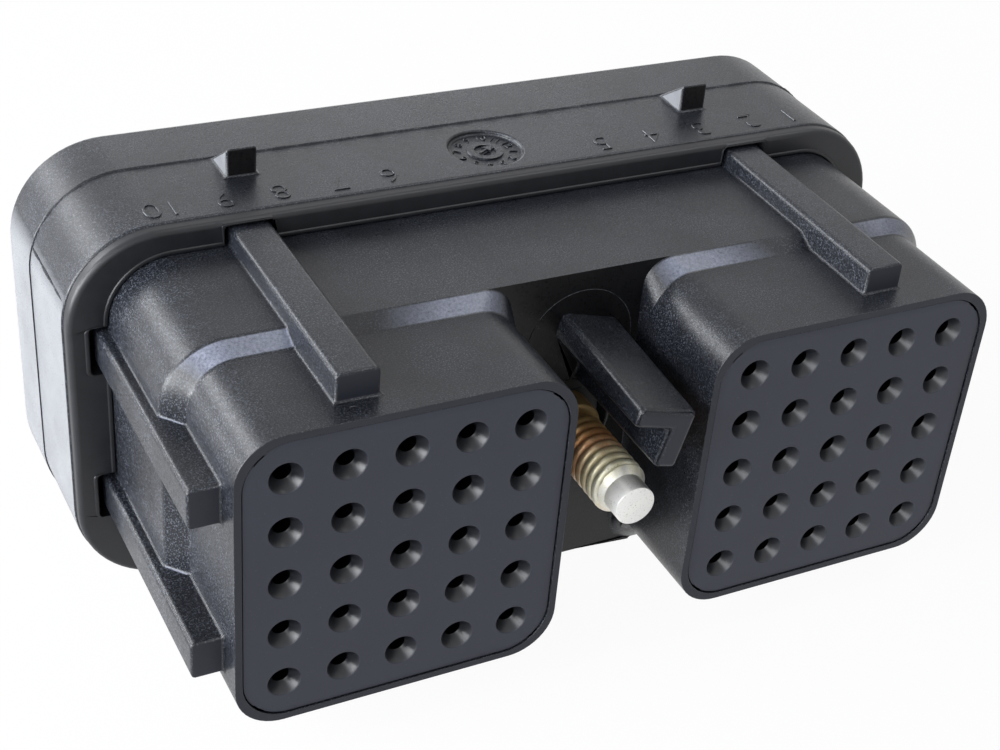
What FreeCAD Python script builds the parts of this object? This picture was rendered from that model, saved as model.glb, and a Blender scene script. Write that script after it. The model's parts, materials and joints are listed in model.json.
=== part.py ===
"""Sealed rectangular automotive plug with fifty contact positions and a centre jackscrew.

The frame: the origin is on the jackscrew's axis, in the plane of the two mating faces.
X runs across the plug's width, Y from the mating face back to the wires, Z up.
All sizes are in millimetres.
"""
import FreeCAD, Part
import os
import math
import re
import Sketcher

# Driving dimensions: alias, value, what it is
SIZES = (
    ("contact_pitch", 4.19, "distance between neighbouring contact positions"),
    ("contact_columns", 5, "contact positions across one block"),
    ("contact_rows", 5, "contact positions up one block"),
    ("countersink_width", 2.45, "mouth of a contact hole in the mating face"),
    ("countersink_depth", 0.85, "depth of the lead-in cone"),
    ("pin_hole", 1.25, "hole that a mating pin enters"),
    ("socket_bore", 2.0, "bore behind it that holds the socket contact"),
    ("pin_hole_depth", 2.2, "from the insert's face to the end of the pin's hole"),
    ("shoulder_length", 0.4, "cone from the pin's hole to the socket bore"),
    ("block_side_margin", 3.42, "centre of the outer holes to the side of a block"),
    ("block_top_margin", 3.32, "centre of the top holes to the top of a block"),
    ("block_gap", 10.5, "open space between the two blocks"),
    ("block_corner", 3.4, "outer corner radius of a block"),
    ("array_rise", 0.3, "contact arrays above the jackscrew's axis"),
    ("rim_wall", 0.52, "wall of a block round its face insert"),
    ("insert_corner", 3.3, "corner radius of the pocket for a face insert"),
    ("insert_length", 12.0, "face insert along Y"),
    ("insert_setback", 0.1, "face insert behind the rim"),
    ("insert_clearance", 0.06, "all round each moulded insert"),
    ("ledge_thickness", 1.4, "ledge between the face insert and the retention insert"),
    ("ledge_width", 1.5, "ledge's reach into the block"),
    ("step_front", 8.8, "mating face to the foot of the sloped step"),
    ("step_slope", 1.5, "length of the sloped step along Y"),
    ("step_side", 1.35, "height of the sloped step at the plug's two sides"),
    ("step_top", 0.75, "height of the sloped step on top of a block"),
    ("body_corner", 4.6, "corner radius of the middle body"),
    ("crest_corner", 2.2, "radius of the sloped step's crest beside the jackscrew"),
    ("flange_front", 22.2, "mating face to the front of the shell"),
    ("flange_thickness", 4.0, "web between the middle body and the shell"),
    ("flange_side", 3.0, "flange beyond the middle body at the plug's two sides"),
    ("flange_top", 2.0, "flange beyond the middle body above and below it"),
    ("shell_corner", 7.0, "corner radius of the shell"),
    ("shell_length", 14.0, "shell along Y"),
    ("shell_wall", 1.9, "wall round the wire seal"),
    ("shell_chamfer", 0.5, "edge of the shell's rear mouth"),
    ("band_length", 8.1, "front band of the shell, up to the parting line"),
    ("band_step", 0.1, "rear band stands proud of the front band"),
    ("rib_width", 3.05, "every keying rib"),
    ("rib_spacing", 40.1, "between the two top ribs"),
    ("rib_front", 2.1, "mating face to the tip of a rib"),
    ("top_rib_height", 1.35, "top ribs above the middle body"),
    ("side_rib_spacing", 12.4, "between the two ribs of a side"),
    ("side_rib_height", 0.9, "side ribs beyond the middle body"),
    ("post_reach", 1.5, "keying post in front of the mating face"),
    ("post_angle", 15.5, "keying post turned clockwise seen from the front"),
    ("post_corner_x", -1.05, "outer corner of the post at its root"),
    ("post_corner_z", 9.65, "outer corner of the post at its root"),
    ("post_width", 4.7, "bar of the L-shaped post"),
    ("post_height", 4.6, "leg of the L-shaped post"),
    ("post_bar", 1.55, "thickness of the bar"),
    ("post_leg", 1.8, "thickness of the leg"),
    ("post_sink", 0.3, "post's root inside the middle body"),
    ("post_draft", 0.6, "bar's top falls this much from root to tip"),
    ("post_chamfer", 0.3, "edge of the post's tip"),
    ("latch_spacing", 37.4, "between the two latch ramps on the shell"),
    ("latch_width", 2.3, "latch ramp across X"),
    ("latch_height", 2.3, "latch ramp above the shell"),
    ("latch_front", 4.75, "front of the shell to the ramp's catch face"),
    ("wheel_width", 5.7, "round recess for the date wheel"),
    ("wheel_depth", 0.35, "round recess for the date wheel"),
    ("wheel_back", 3.75, "front of the shell to the centre of the date wheel"),
    ("seal_proud", 1.05, "interface seal in front of the shell"),
    ("seal_inset", 0.12, "interface seal inside the shell's outline"),
    ("seal_chamfer", 0.5, "outer front edge of the interface seal"),
    ("seal_fit", 0.05, "interface seal round the middle body and the ribs"),
    ("tongue_width", 1.1, "tongue of the interface seal"),
    ("tongue_depth", 2.2, "tongue of the interface seal into the flange"),
    ("tongue_gap", 0.05, "round the tongue in its groove"),
    ("pocket_side", 0.7, "side of a block to the pocket for its retention insert"),
    ("pocket_top", 1.0, "top of a block to the pocket for its retention insert"),
    ("pocket_corner", 2.0, "pocket for a retention insert"),
    ("cavity_size", 2.7, "square cavity of a retention insert"),
    ("grommet_length", 9.0, "wire seal along Y"),
    ("grommet_clearance", 0.06, "round the wire seal"),
    ("wire_hole", 1.7, "wire seal's hole for one wire"),
    ("web_gap", 0.1, "between the flange's web and the wire seal"),
    ("boss_wall", 1.1, "wall of the boss round the jackscrew's head"),
    ("boss_length", 8.2, "boss behind the flange's web"),
    ("thread_width", 4.17, "jackscrew's thread, its outside"),
    ("thread_start", 1.9, "mating face to the first full thread"),
    ("thread_length", 6.7, "threaded length"),
    ("shank_width", 4.8, "plain shank, whose bore the thread passes through"),
    ("relief_width", 3.5, "groove behind the thread"),
    ("relief_length", 0.4, "groove behind the thread"),
    ("dog_width", 3.05, "plain pilot at the jackscrew's tip"),
    ("dog_reach", 0.4, "tip in front of the mating face"),
    ("cone_length", 0.6, "cone between the pilot and the thread"),
    ("screw_clearance", 0.06, "radial, between the shank and its bore"),
    ("washer_width", 8.0, "thrust washer under the head"),
    ("washer_thickness", 0.8, "thrust washer under the head"),
    ("head_width", 7.6, "jackscrew's head"),
    ("head_length", 4.4, "jackscrew's head"),
    ("head_chamfer", 0.4, "edge of the head"),
    ("hex_width", 3.97, "hexagon socket across its flats"),
    ("hex_depth", 2.6, "hexagon socket"),
    ("washer_gap", 0.2, "radial, round the thrust washer in its counterbore"),
    ("head_recess", 1.0, "head below the rear face of its boss"),
    ("head_play", 0.05, "axial, between the head and its washer"),
    ("gland_depth", 1.6, "counterbore for the shank's sealing ring"),
    ("ring_section", 1.06, "thickness and length of the square-cut sealing ring"),
    ("clip_gap", 0.4, "radial, round the retaining ring in its counterbore"),
    ("clip_pocket_depth", 1.5, "counterbore for the retaining ring in the front wall"),
    ("clip_width", 6.4, "retaining ring"),
    ("clip_thickness", 0.6, "retaining ring"),
    ("clip_mouth", 2.6, "open side of the retaining ring"),
    ("clip_groove_depth", 0.45, "retaining ring's groove in the shank"),
    ("clip_play", 0.1, "axial, between the ring and its groove walls"),
)

doc = FreeCAD.newDocument("sealed_plug")
sheet = doc.addObject("Spreadsheet::Sheet", "Sizes")
for row, (alias, number, note) in enumerate(SIZES, start=1):
    sheet.set(f"A{row}", alias)
    sheet.set(f"B{row}", str(number))
    sheet.set(f"C{row}", note)
    sheet.setAlias(f"B{row}", alias)
doc.recompute()


ALIASES = {alias for alias, number, note in SIZES}


def expr(text):
    """Puts the sheet's name before each alias in an expression."""

    def full_name(match):
        word = match.group(0)
        return "Sizes." + word if word in ALIASES else word

    return re.sub("[a-z_]+", full_name, text)


def value(text):
    """The number that an expression has now."""
    return float(sheet.evalExpression(expr(text)))


def new_body(label):
    """A PartDesign body whose label is the sub-part's name."""
    body = doc.addObject("PartDesign::Body", label)
    body.Label = label
    return body


def new_sketch(body, name, role, offset, sign):
    """A sketch on one of the body's origin planes, moved along its normal by an expression."""
    sketch = body.newObject("Sketcher::SketchObject", name)
    plane = next(f for f in body.Origin.OriginFeatures if f.Role == role)
    sketch.AttachmentSupport = [(plane, "")]
    sketch.MapMode = "FlatFace"
    sketch.setExpression("AttachmentOffset.Base.z", expr(f"{sign} * ( {offset} )"))
    return sketch


def front_sketch(body, name, y):
    """A sketch parallel to the mating face at y: its first axis is X, its second is Z."""
    return new_sketch(body, name, "XZ_Plane", y, "-1")


def side_sketch(body, name, x):
    """A sketch across the width at x: its first axis is Y, its second is Z."""
    return new_sketch(body, name, "YZ_Plane", x, "1")


def top_sketch(body, name, z):
    """A sketch parallel to the ground at z: its first axis is X, its second is Y."""
    return new_sketch(body, name, "XY_Plane", z, "1")


def fix_point(sketch, geometry, position, x, y):
    """Ties a point to the sketch's origin by two expressions."""
    for kind, text in (("DistanceX", x), ("DistanceY", y)):
        number = sketch.addConstraint(
            Sketcher.Constraint(kind, -1, 1, geometry, position, value(text))
        )
        sketch.setExpression(f"Constraints[{number}]", expr(text))


def fix_radius(sketch, geometry, radius):
    """Ties a circle's or an arc's radius to an expression."""
    number = sketch.addConstraint(Sketcher.Constraint("Radius", geometry, value(radius)))
    sketch.setExpression(f"Constraints[{number}]", expr(radius))


def add_circle(sketch, x, y, radius):
    """A circle whose centre and radius are expressions."""
    centre = FreeCAD.Vector(value(x), value(y), 0)
    circle = Part.Circle(centre, FreeCAD.Vector(0, 0, 1), value(radius))
    number = sketch.addGeometry(circle, False)
    fix_radius(sketch, number, radius)
    fix_point(sketch, number, 3, x, y)


def add_polygon(sketch, points):
    """A closed outline of straight lines through points whose coordinates are expressions."""
    places = [FreeCAD.Vector(value(x), value(y), 0) for x, y in points]
    count = len(places)
    lines = []
    for k in range(count):
        line = Part.LineSegment(places[k], places[(k + 1) % count])
        lines.append(sketch.addGeometry(line, False))
    for k in range(count):
        following = lines[(k + 1) % count]
        sketch.addConstraint(Sketcher.Constraint("Coincident", lines[k], 2, following, 1))
    for k, (x, y) in enumerate(points):
        fix_point(sketch, lines[k], 1, x, y)


def add_many_sided(sketch, x, y, width, sides):
    """A regular outline centred at x, y; width is across its flats."""
    points = []
    for k in range(sides):
        angle = 360 * (k + 0.5) / sides
        reach = f"( {width} ) / 2 / cos( {180 / sides} )"
        points.append((f"{x} + {reach} * cos( {angle} )", f"{y} + {reach} * sin( {angle} )"))
    add_polygon(sketch, points)


def add_rectangle(sketch, left, right, low, high):
    """A rectangle between two places across and two places up."""
    add_polygon(sketch, ((left, low), (right, low), (right, high), (left, high)))


def add_rounded(sketch, x, y, width, height, right, left=None):
    """A rectangle with round corners, centred at x, y: right and left are their radii."""
    left = left or right
    corners = ((1, 1, right), (-1, 1, left), (-1, -1, left), (1, -1, right))
    arcs = []
    ends = []
    centres = []
    for k, (side, rise, radius) in enumerate(corners):
        cx = f"{x} + {side} * ( ( {width} ) / 2 - ( {radius} ) )"
        cy = f"{y} + {rise} * ( ( {height} ) / 2 - ( {radius} ) )"
        centres.append((cx, cy, radius))
        centre = FreeCAD.Vector(value(cx), value(cy), 0)
        circle = Part.Circle(centre, FreeCAD.Vector(0, 0, 1), value(radius))
        start = k * math.pi / 2
        arc = Part.ArcOfCircle(circle, start, start + math.pi / 2)
        arcs.append(sketch.addGeometry(arc, False))
        ends.append((arc.StartPoint, arc.EndPoint))
    for k in range(4):
        following = (k + 1) % 4
        line = Part.LineSegment(ends[k][1], ends[following][0])
        number = sketch.addGeometry(line, False)
        sketch.addConstraint(Sketcher.Constraint("Tangent", arcs[k], 2, number, 1))
        sketch.addConstraint(Sketcher.Constraint("Tangent", number, 2, arcs[following], 1))
    for arc, (cx, cy, radius) in zip(arcs, centres):
        fix_radius(sketch, arc, radius)
        fix_point(sketch, arc, 3, cx, cy)


def finished(body, feature):
    """Makes a feature the body's last one; flush faces are merged once, in the finished body."""
    feature.Refine = False
    body.Tip = feature
    return feature


def pad(body, sketch, length, to_rear=True):
    """Adds material from the sketch towards the wires, or towards the mating face."""
    feature = body.newObject("PartDesign::Pad", sketch.Name + "_pad")
    feature.Profile = sketch
    feature.Reversed = to_rear
    feature.setExpression("Length", expr(length))
    return finished(body, feature)


def pocket(body, sketch, length, to_rear=True):
    """Cuts material from the sketch towards the wires, or towards the mating face."""
    feature = body.newObject("PartDesign::Pocket", sketch.Name + "_cut")
    feature.Profile = sketch
    feature.Reversed = not to_rear
    feature.setExpression("Length", expr(length))
    return finished(body, feature)


def pad_across(body, sketch, width):
    """Adds material to both sides of a sketch."""
    feature = body.newObject("PartDesign::Pad", sketch.Name + "_pad")
    feature.Profile = sketch
    feature.Midplane = True
    feature.setExpression("Length", expr(width))
    return finished(body, feature)


def revolve(body, sketch, kind):
    """Turns a side sketch round the body's Y axis, as material or as a cut."""
    feature = body.newObject("PartDesign::" + kind, sketch.Name + "_turn")
    axis = next(f for f in body.Origin.OriginFeatures if f.Role == "Y_Axis")
    feature.Profile = sketch
    feature.ReferenceAxis = (axis, [""])
    feature.Angle = 360
    return finished(body, feature)


def loft(body, first, others, kind="AdditiveLoft"):
    """Adds material from one sketch through the others, or cuts it."""
    feature = body.newObject("PartDesign::" + kind, first.Name + "_loft")
    feature.Profile = first
    feature.Sections = others
    feature.Ruled = True
    return finished(body, feature)


def repeat(body, feature, steps):
    """Repeats a feature in rows: each step is an origin axis, a length and a number of copies."""
    multi = body.newObject("PartDesign::MultiTransform", feature.Name + "_array")
    multi.Originals = [feature]
    patterns = []
    for k, (role, length, copies) in enumerate(steps):
        pattern = body.newObject("PartDesign::LinearPattern", f"{feature.Name}_row{k}")
        axis = next(f for f in body.Origin.OriginFeatures if f.Role == role)
        pattern.Direction = (axis, [""])
        pattern.setExpression("Length", expr(length))
        pattern.setExpression("Occurrences", expr(copies))
        patterns.append(pattern)
    multi.Transformations = patterns
    body.Tip = multi
    return multi


def chamfer_edges(body, size, wanted):
    """Chamfers the edges of the body's tip that wanted() picks by their end points."""
    doc.recompute()
    base = body.Tip
    names = []
    for k, edge in enumerate(base.Shape.Edges, start=1):
        ends = [vertex.Point for vertex in edge.Vertexes]
        if len(ends) == 2 and wanted(ends):
            names.append(f"Edge{k}")
    feature = body.newObject("PartDesign::Chamfer", f"{body.Name}_chamfer{len(body.Group)}")
    feature.Base = (base, names)
    feature.setExpression("Size", expr(size))
    return finished(body, feature)


# Widths, heights and radii that several pieces share, as expressions
ARRAY_WIDTH = "( ( contact_columns - 1 ) * contact_pitch )"
ARRAY_HEIGHT = "( ( contact_rows - 1 ) * contact_pitch )"
BLOCK_WIDTH = f"( {ARRAY_WIDTH} + 2 * block_side_margin )"
BLOCK_HEIGHT = f"( {ARRAY_HEIGHT} + 2 * block_top_margin )"
BLOCK_SPACING = f"( {BLOCK_WIDTH} + block_gap )"
BODY_WIDTH = f"( {BLOCK_SPACING} + {BLOCK_WIDTH} + 2 * step_side )"
BODY_HEIGHT = f"( {BLOCK_HEIGHT} + 2 * array_rise + 2 * step_top )"
SHELL_WIDTH = f"( {BODY_WIDTH} + 2 * flange_side )"
SHELL_HEIGHT = f"( {BODY_HEIGHT} + 2 * flange_top )"
POCKET_WIDTH = f"( {BLOCK_WIDTH} - 2 * pocket_side )"
POCKET_HEIGHT = f"( {BLOCK_HEIGHT} - 2 * pocket_top )"
RIB_TOP = f"( {BODY_HEIGHT} / 2 + top_rib_height )"
RIB_REACH = f"( {BODY_WIDTH} / 2 + side_rib_height )"
RIB_ROOT_Z = f"( {BODY_HEIGHT} / 2 - body_corner )"
RIB_ROOT_X = f"( {BODY_WIDTH} / 2 - body_corner )"
HEAD_POCKET = "( washer_width / 2 + washer_gap )"
BOSS_RADIUS = f"( {HEAD_POCKET} + boss_wall )"
SCREW_BORE = "( shank_width / 2 + screw_clearance )"
GLAND_RADIUS = f"( {SCREW_BORE} + ring_section )"
CLIP_POCKET = "( clip_width / 2 + clip_gap )"
CLIP_FLOOR = "( shank_width / 2 - clip_groove_depth )"

# Places that several pieces share, as expressions
STEP_REAR = "step_front + step_slope"
FLANGE_REAR = "flange_front + flange_thickness"
SHELL_REAR = "flange_front + shell_length"
SEAM = "flange_front + band_length"
LEDGE_FRONT = "insert_setback + insert_length"
LEDGE_REAR = f"{LEDGE_FRONT} + ledge_thickness"
CAVITY_WIDTH = f"{SHELL_WIDTH} - 2 * shell_wall"
CAVITY_HEIGHT = f"{SHELL_HEIGHT} - 2 * shell_wall"
CAVITY_CORNER = "shell_corner - shell_wall"
BOSS_REAR = f"{FLANGE_REAR} + boss_length"
HEAD_REAR = f"{BOSS_REAR} - head_recess"
HEAD_FRONT = f"{HEAD_REAR} - head_length"
WASHER_FRONT = f"{HEAD_FRONT} - head_play - washer_thickness"
CLIP_FRONT = f"{STEP_REAR} + clip_pocket_depth - clip_thickness - clip_play"
FIRST_ROW = f"array_rise - {ARRAY_HEIGHT} / 2"
SIDES = (("left", "-1"), ("right", "1"))

# Round holes that repeat by the dozen are drawn with this many flat sides
HOLE_SIDES = 8


def top_rib_sides(sign, gap):
    """The two sides of a top rib, or of the notch round it when gap is more than zero."""
    half = f"( rib_width / 2 + {gap} )"
    return f"{sign} * rib_spacing / 2 - {half}", f"{sign} * rib_spacing / 2 + {half}"


def side_rib_levels(rise, gap):
    """The lower and upper side of a side rib, or of the notch round it."""
    half = f"( rib_width / 2 + {gap} )"
    return f"{rise} * side_rib_spacing / 2 - {half}", f"{rise} * side_rib_spacing / 2 + {half}"


def make_housing():
    """One moulding: shell, flange, middle body, two blocks, ribs, post, latch ramps and boss."""
    body = new_body("housing")

    band = front_sketch(body, "front_band", "flange_front")
    add_rounded(band, "0", "0", SHELL_WIDTH, SHELL_HEIGHT, "shell_corner")
    pad(body, band, "band_length")
    rear = front_sketch(body, "rear_band", SEAM)
    proud = "2 * band_step"
    add_rounded(
        rear,
        "0",
        "0",
        f"{SHELL_WIDTH} + {proud}",
        f"{SHELL_HEIGHT} + {proud}",
        "shell_corner + band_step",
    )
    pad(body, rear, "shell_length - band_length")
    middle = front_sketch(body, "middle_body", STEP_REAR)
    add_rounded(middle, "0", "0", BODY_WIDTH, BODY_HEIGHT, "body_corner")
    pad(body, middle, f"{FLANGE_REAR} - ( {STEP_REAR} )")

    for name, sign in SIDES:
        centre = f"{sign} * {BLOCK_SPACING} / 2"
        block = front_sketch(body, f"{name}_block", "0")
        add_rounded(block, centre, "array_rise", BLOCK_WIDTH, BLOCK_HEIGHT, "block_corner")
        pad(body, block, STEP_REAR)
        foot = front_sketch(body, f"{name}_slope", "step_front")
        add_rounded(foot, centre, "array_rise", BLOCK_WIDTH, BLOCK_HEIGHT, "block_corner")
        crest = front_sketch(body, f"{name}_crest", STEP_REAR)
        crest_centre = f"{centre} + {sign} * step_side / 2"
        crest_width = f"{BLOCK_WIDTH} + step_side"
        radii = ("body_corner", "crest_corner") if name == "right" else ("crest_corner", "body_corner")
        add_rounded(crest, crest_centre, "0", crest_width, BODY_HEIGHT, *radii)
        loft(body, foot, [crest])

    rib_length = "flange_front - rib_front"
    for name, sign in SIDES:
        rib = front_sketch(body, f"{name}_top_rib", "rib_front")
        add_rectangle(rib, *top_rib_sides(sign, "0"), RIB_ROOT_Z, RIB_TOP)
        pad(body, rib, rib_length)
        for level, rise in (("upper", "1"), ("lower", "-1")):
            rib = front_sketch(body, f"{name}_{level}_rib", "rib_front")
            low, high = side_rib_levels(rise, "0")
            add_rectangle(rib, f"{sign} * {RIB_ROOT_X}", f"{sign} * {RIB_REACH}", low, high)
            pad(body, rib, rib_length)

    for name, sign in SIDES:
        latch = side_sketch(body, f"{name}_latch", f"{sign} * latch_spacing / 2")
        top = f"{SHELL_HEIGHT} / 2"
        sunk = f"{top} - shell_wall / 2"
        catch = "flange_front + latch_front"
        points = (
            (catch, sunk),
            (SEAM, sunk),
            (SEAM, top),
            (catch, f"{top} + latch_height"),
        )
        add_polygon(latch, points)
        pad_across(body, latch, "latch_width")

    rear_cavity = front_sketch(body, "wire_seal_cavity", SHELL_REAR)
    add_rounded(rear_cavity, "0", "0", CAVITY_WIDTH, CAVITY_HEIGHT, CAVITY_CORNER)
    pocket(body, rear_cavity, "shell_length - flange_thickness", to_rear=False)
    boss = front_sketch(body, "screw_boss", FLANGE_REAR)
    add_circle(boss, "0", "0", BOSS_RADIUS)
    pad(body, boss, "boss_length")

    for name, sign in SIDES:
        centre = f"{sign} * {BLOCK_SPACING} / 2"
        seat = front_sketch(body, f"{name}_retention_pocket", FLANGE_REAR)
        add_rounded(seat, centre, "array_rise", POCKET_WIDTH, POCKET_HEIGHT, "pocket_corner")
        pocket(body, seat, f"{FLANGE_REAR} - ( {LEDGE_REAR} )", to_rear=False)
        mouth = front_sketch(body, f"{name}_insert_pocket", "0")
        wall = "2 * rim_wall"
        add_rounded(
            mouth,
            centre,
            "array_rise",
            f"{BLOCK_WIDTH} - {wall}",
            f"{BLOCK_HEIGHT} - {wall}",
            "insert_corner",
        )
        pocket(body, mouth, LEDGE_FRONT)
        window = front_sketch(body, f"{name}_ledge_window", "0")
        inset = "2 * ( rim_wall + ledge_width )"
        add_rounded(
            window,
            centre,
            "array_rise",
            f"{BLOCK_WIDTH} - {inset}",
            f"{BLOCK_HEIGHT} - {inset}",
            "insert_corner",
        )
        pocket(body, window, LEDGE_REAR)

    groove = front_sketch(body, "seal_groove", "flange_front")
    outer = "2 * ( tongue_width + tongue_gap + seal_fit )"
    add_rounded(groove, "0", "0", BODY_WIDTH, BODY_HEIGHT, "body_corner")
    add_rounded(
        groove,
        "0",
        "0",
        f"{BODY_WIDTH} + {outer}",
        f"{BODY_HEIGHT} + {outer}",
        "body_corner + tongue_width + tongue_gap + seal_fit",
    )
    pocket(body, groove, "tongue_depth + tongue_gap")

    bore = side_sketch(body, "screw_bore", "0")
    clip_end = f"{STEP_REAR} + clip_pocket_depth"
    gland_front = f"{WASHER_FRONT} - gland_depth"
    past_front = f"{STEP_REAR} - 1"
    past_rear = f"{BOSS_REAR} + 1"
    points = (
        (past_front, "0"),
        (past_rear, "0"),
        (past_rear, HEAD_POCKET),
        (WASHER_FRONT, HEAD_POCKET),
        (WASHER_FRONT, GLAND_RADIUS),
        (gland_front, GLAND_RADIUS),
        (gland_front, SCREW_BORE),
        (clip_end, SCREW_BORE),
        (clip_end, CLIP_POCKET),
        (past_front, CLIP_POCKET),
    )
    add_polygon(bore, points)
    revolve(body, bore, "Groove")

    add_post(body)

    wheel = top_sketch(body, "date_wheel_recess", f"{SHELL_HEIGHT} / 2")
    add_circle(wheel, "0", "flange_front + wheel_back", "wheel_width / 2")
    recess = body.newObject("PartDesign::Pocket", "date_wheel_cut")
    recess.Profile = wheel
    recess.setExpression("Length", "Sizes.wheel_depth")
    finished(body, recess)

    rear_y = value(SHELL_REAR)
    half_width = value(f"{SHELL_WIDTH} - shell_wall") / 2
    half_height = value(f"{SHELL_HEIGHT} - shell_wall") / 2

    def rear_outline(ends):
        """Edges of the shell's outer outline in its rear plane."""
        flat = all(abs(point.y - rear_y) < 0.001 for point in ends)
        outside = all(abs(point.x) > half_width or abs(point.z) > half_height for point in ends)
        return flat and outside

    chamfer_edges(body, "shell_chamfer", rear_outline)
    return body


def add_post(body):
    """The L-shaped keying post: a bar and a leg, turned about Y and tapered to its tip."""

    def corner(along, drop, fall):
        """A corner of the L: along its bar, then down its leg, from the outer corner."""
        lowered = f"( {drop} + {fall} )"
        x = f"post_corner_x + ( {along} ) * cos( post_angle ) - {lowered} * sin( post_angle )"
        z = f"post_corner_z - ( {along} ) * sin( post_angle ) - {lowered} * cos( post_angle )"
        return x, z

    def section(name, y, fall):
        """The L at one place along Y; fall lowers its top."""
        sketch = front_sketch(body, name, y)
        points = (
            corner("0", "0", fall),
            corner("post_width", "0", fall),
            corner("post_width", "post_height", "post_draft"),
            corner("post_width - post_leg", "post_height", "post_draft"),
            corner("post_width - post_leg", "post_bar", "post_draft"),
            corner("0", "post_bar", "post_draft"),
        )
        add_polygon(sketch, points)
        return sketch

    root = section("post_root", f"{STEP_REAR} + post_sink", "0")
    tip = section("post_tip", "-1 * post_reach", "post_draft")
    loft(body, root, [tip])
    tip_y = value("-1 * post_reach")

    def at_tip(ends):
        """Edges of the post's front face."""
        return all(abs(point.y - tip_y) < 0.001 for point in ends)

    chamfer_edges(body, "post_chamfer", at_tip)


def make_interface_seal():
    """Soft ring on the flange's front, with a tongue in the flange's groove."""
    body = new_body("interface_seal")
    ring = front_sketch(body, "ring", "flange_front - seal_proud")
    inset = "2 * seal_inset"
    fit = "2 * seal_fit"
    inner = (f"{BODY_WIDTH} + {fit}", f"{BODY_HEIGHT} + {fit}", "body_corner + seal_fit")
    add_rounded(
        ring,
        "0",
        "0",
        f"{SHELL_WIDTH} - {inset}",
        f"{SHELL_HEIGHT} - {inset}",
        "shell_corner - seal_inset",
    )
    add_rounded(ring, "0", "0", *inner)
    pad(body, ring, "seal_proud")
    tongue = front_sketch(body, "tongue", "flange_front")
    wide = "2 * ( tongue_width + seal_fit )"
    add_rounded(
        tongue,
        "0",
        "0",
        f"{BODY_WIDTH} + {wide}",
        f"{BODY_HEIGHT} + {wide}",
        "body_corner + tongue_width + seal_fit",
    )
    add_rounded(tongue, "0", "0", *inner)
    pad(body, tongue, "tongue_depth")

    front_y = value("flange_front - seal_proud")
    half_width = value(f"{BODY_WIDTH} + flange_side") / 2
    half_height = value(f"{BODY_HEIGHT} + flange_top") / 2

    def front_outline(ends):
        """Edges of the ring's outer outline in its front plane."""
        flat = all(abs(point.y - front_y) < 0.001 for point in ends)
        outside = all(abs(point.x) > half_width or abs(point.z) > half_height for point in ends)
        return flat and outside

    chamfer_edges(body, "seal_chamfer", front_outline)

    for name, sign in SIDES:
        notch = front_sketch(body, f"{name}_top_notch", "flange_front - seal_proud")
        sides = top_rib_sides(sign, "seal_fit")
        add_rectangle(notch, *sides, RIB_ROOT_Z, f"{RIB_TOP} + seal_fit")
        pocket(body, notch, "seal_proud")
        for level, rise in (("upper", "1"), ("lower", "-1")):
            notch = front_sketch(body, f"{name}_{level}_notch", "flange_front - seal_proud")
            low, high = side_rib_levels(rise, "seal_fit")
            reach = f"{sign} * ( {RIB_REACH} + seal_fit )"
            add_rectangle(notch, f"{sign} * {RIB_ROOT_X}", reach, low, high)
            pocket(body, notch, "seal_proud")

    return body


def make_face_insert(name, sign):
    """Rigid insert that fills a block from the front, with a countersunk hole for each pin.

    A hole is a short lead-in cone, the pin's hole and the wider bore of the socket contact.
    """
    body = new_body(f"{name}_face_insert")
    centre = f"{sign} * {BLOCK_SPACING} / 2"
    plate = front_sketch(body, f"{name}_plate", "insert_setback")
    wall = "2 * ( rim_wall + insert_clearance )"
    add_rounded(
        plate,
        centre,
        "array_rise",
        f"{BLOCK_WIDTH} - {wall}",
        f"{BLOCK_HEIGHT} - {wall}",
        "insert_corner - insert_clearance",
    )
    pad(body, plate, "insert_length")
    column = f"{centre} - {ARRAY_WIDTH} / 2"
    rear = "insert_setback + insert_length"
    levels = (
        ("countersink", "insert_setback", "countersink_width"),
        ("pin_hole_front", "insert_setback + countersink_depth", "pin_hole"),
        ("pin_hole_rear", "insert_setback + pin_hole_depth", "pin_hole"),
        ("socket_front", "insert_setback + pin_hole_depth + shoulder_length", "socket_bore"),
        ("socket_rear", rear, "socket_bore"),
    )
    sections = []
    for label, y, width in levels:
        section = front_sketch(body, f"{name}_{label}", y)
        add_many_sided(section, column, FIRST_ROW, width, HOLE_SIDES)
        sections.append(section)
    hole = loft(body, sections[0], sections[1:], "SubtractiveLoft")
    steps = (
        ("X_Axis", ARRAY_WIDTH, "contact_columns"),
        ("Z_Axis", ARRAY_HEIGHT, "contact_rows"),
    )
    repeat(body, hole, steps)
    return body


def make_retention_insert(name, sign):
    """Rigid insert behind the ledge, with a square cavity for each contact."""
    body = new_body(f"{name}_retention_insert")
    centre = f"{sign} * {BLOCK_SPACING} / 2"
    front = LEDGE_REAR
    slab = front_sketch(body, f"{name}_slab", front)
    gap = "2 * insert_clearance"
    add_rounded(
        slab,
        centre,
        "array_rise",
        f"{POCKET_WIDTH} - {gap}",
        f"{POCKET_HEIGHT} - {gap}",
        "pocket_corner - insert_clearance",
    )
    pad(body, slab, f"{FLANGE_REAR} - ( {front} )")
    cavity = front_sketch(body, f"{name}_cavity", front)
    add_many_sided(cavity, f"{centre} - {ARRAY_WIDTH} / 2", FIRST_ROW, "cavity_size", 4)
    feature = pocket(body, cavity, f"{FLANGE_REAR} - ( {front} )")
    steps = (
        ("X_Axis", ARRAY_WIDTH, "contact_columns"),
        ("Z_Axis", ARRAY_HEIGHT, "contact_rows"),
    )
    repeat(body, feature, steps)
    return body


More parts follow.
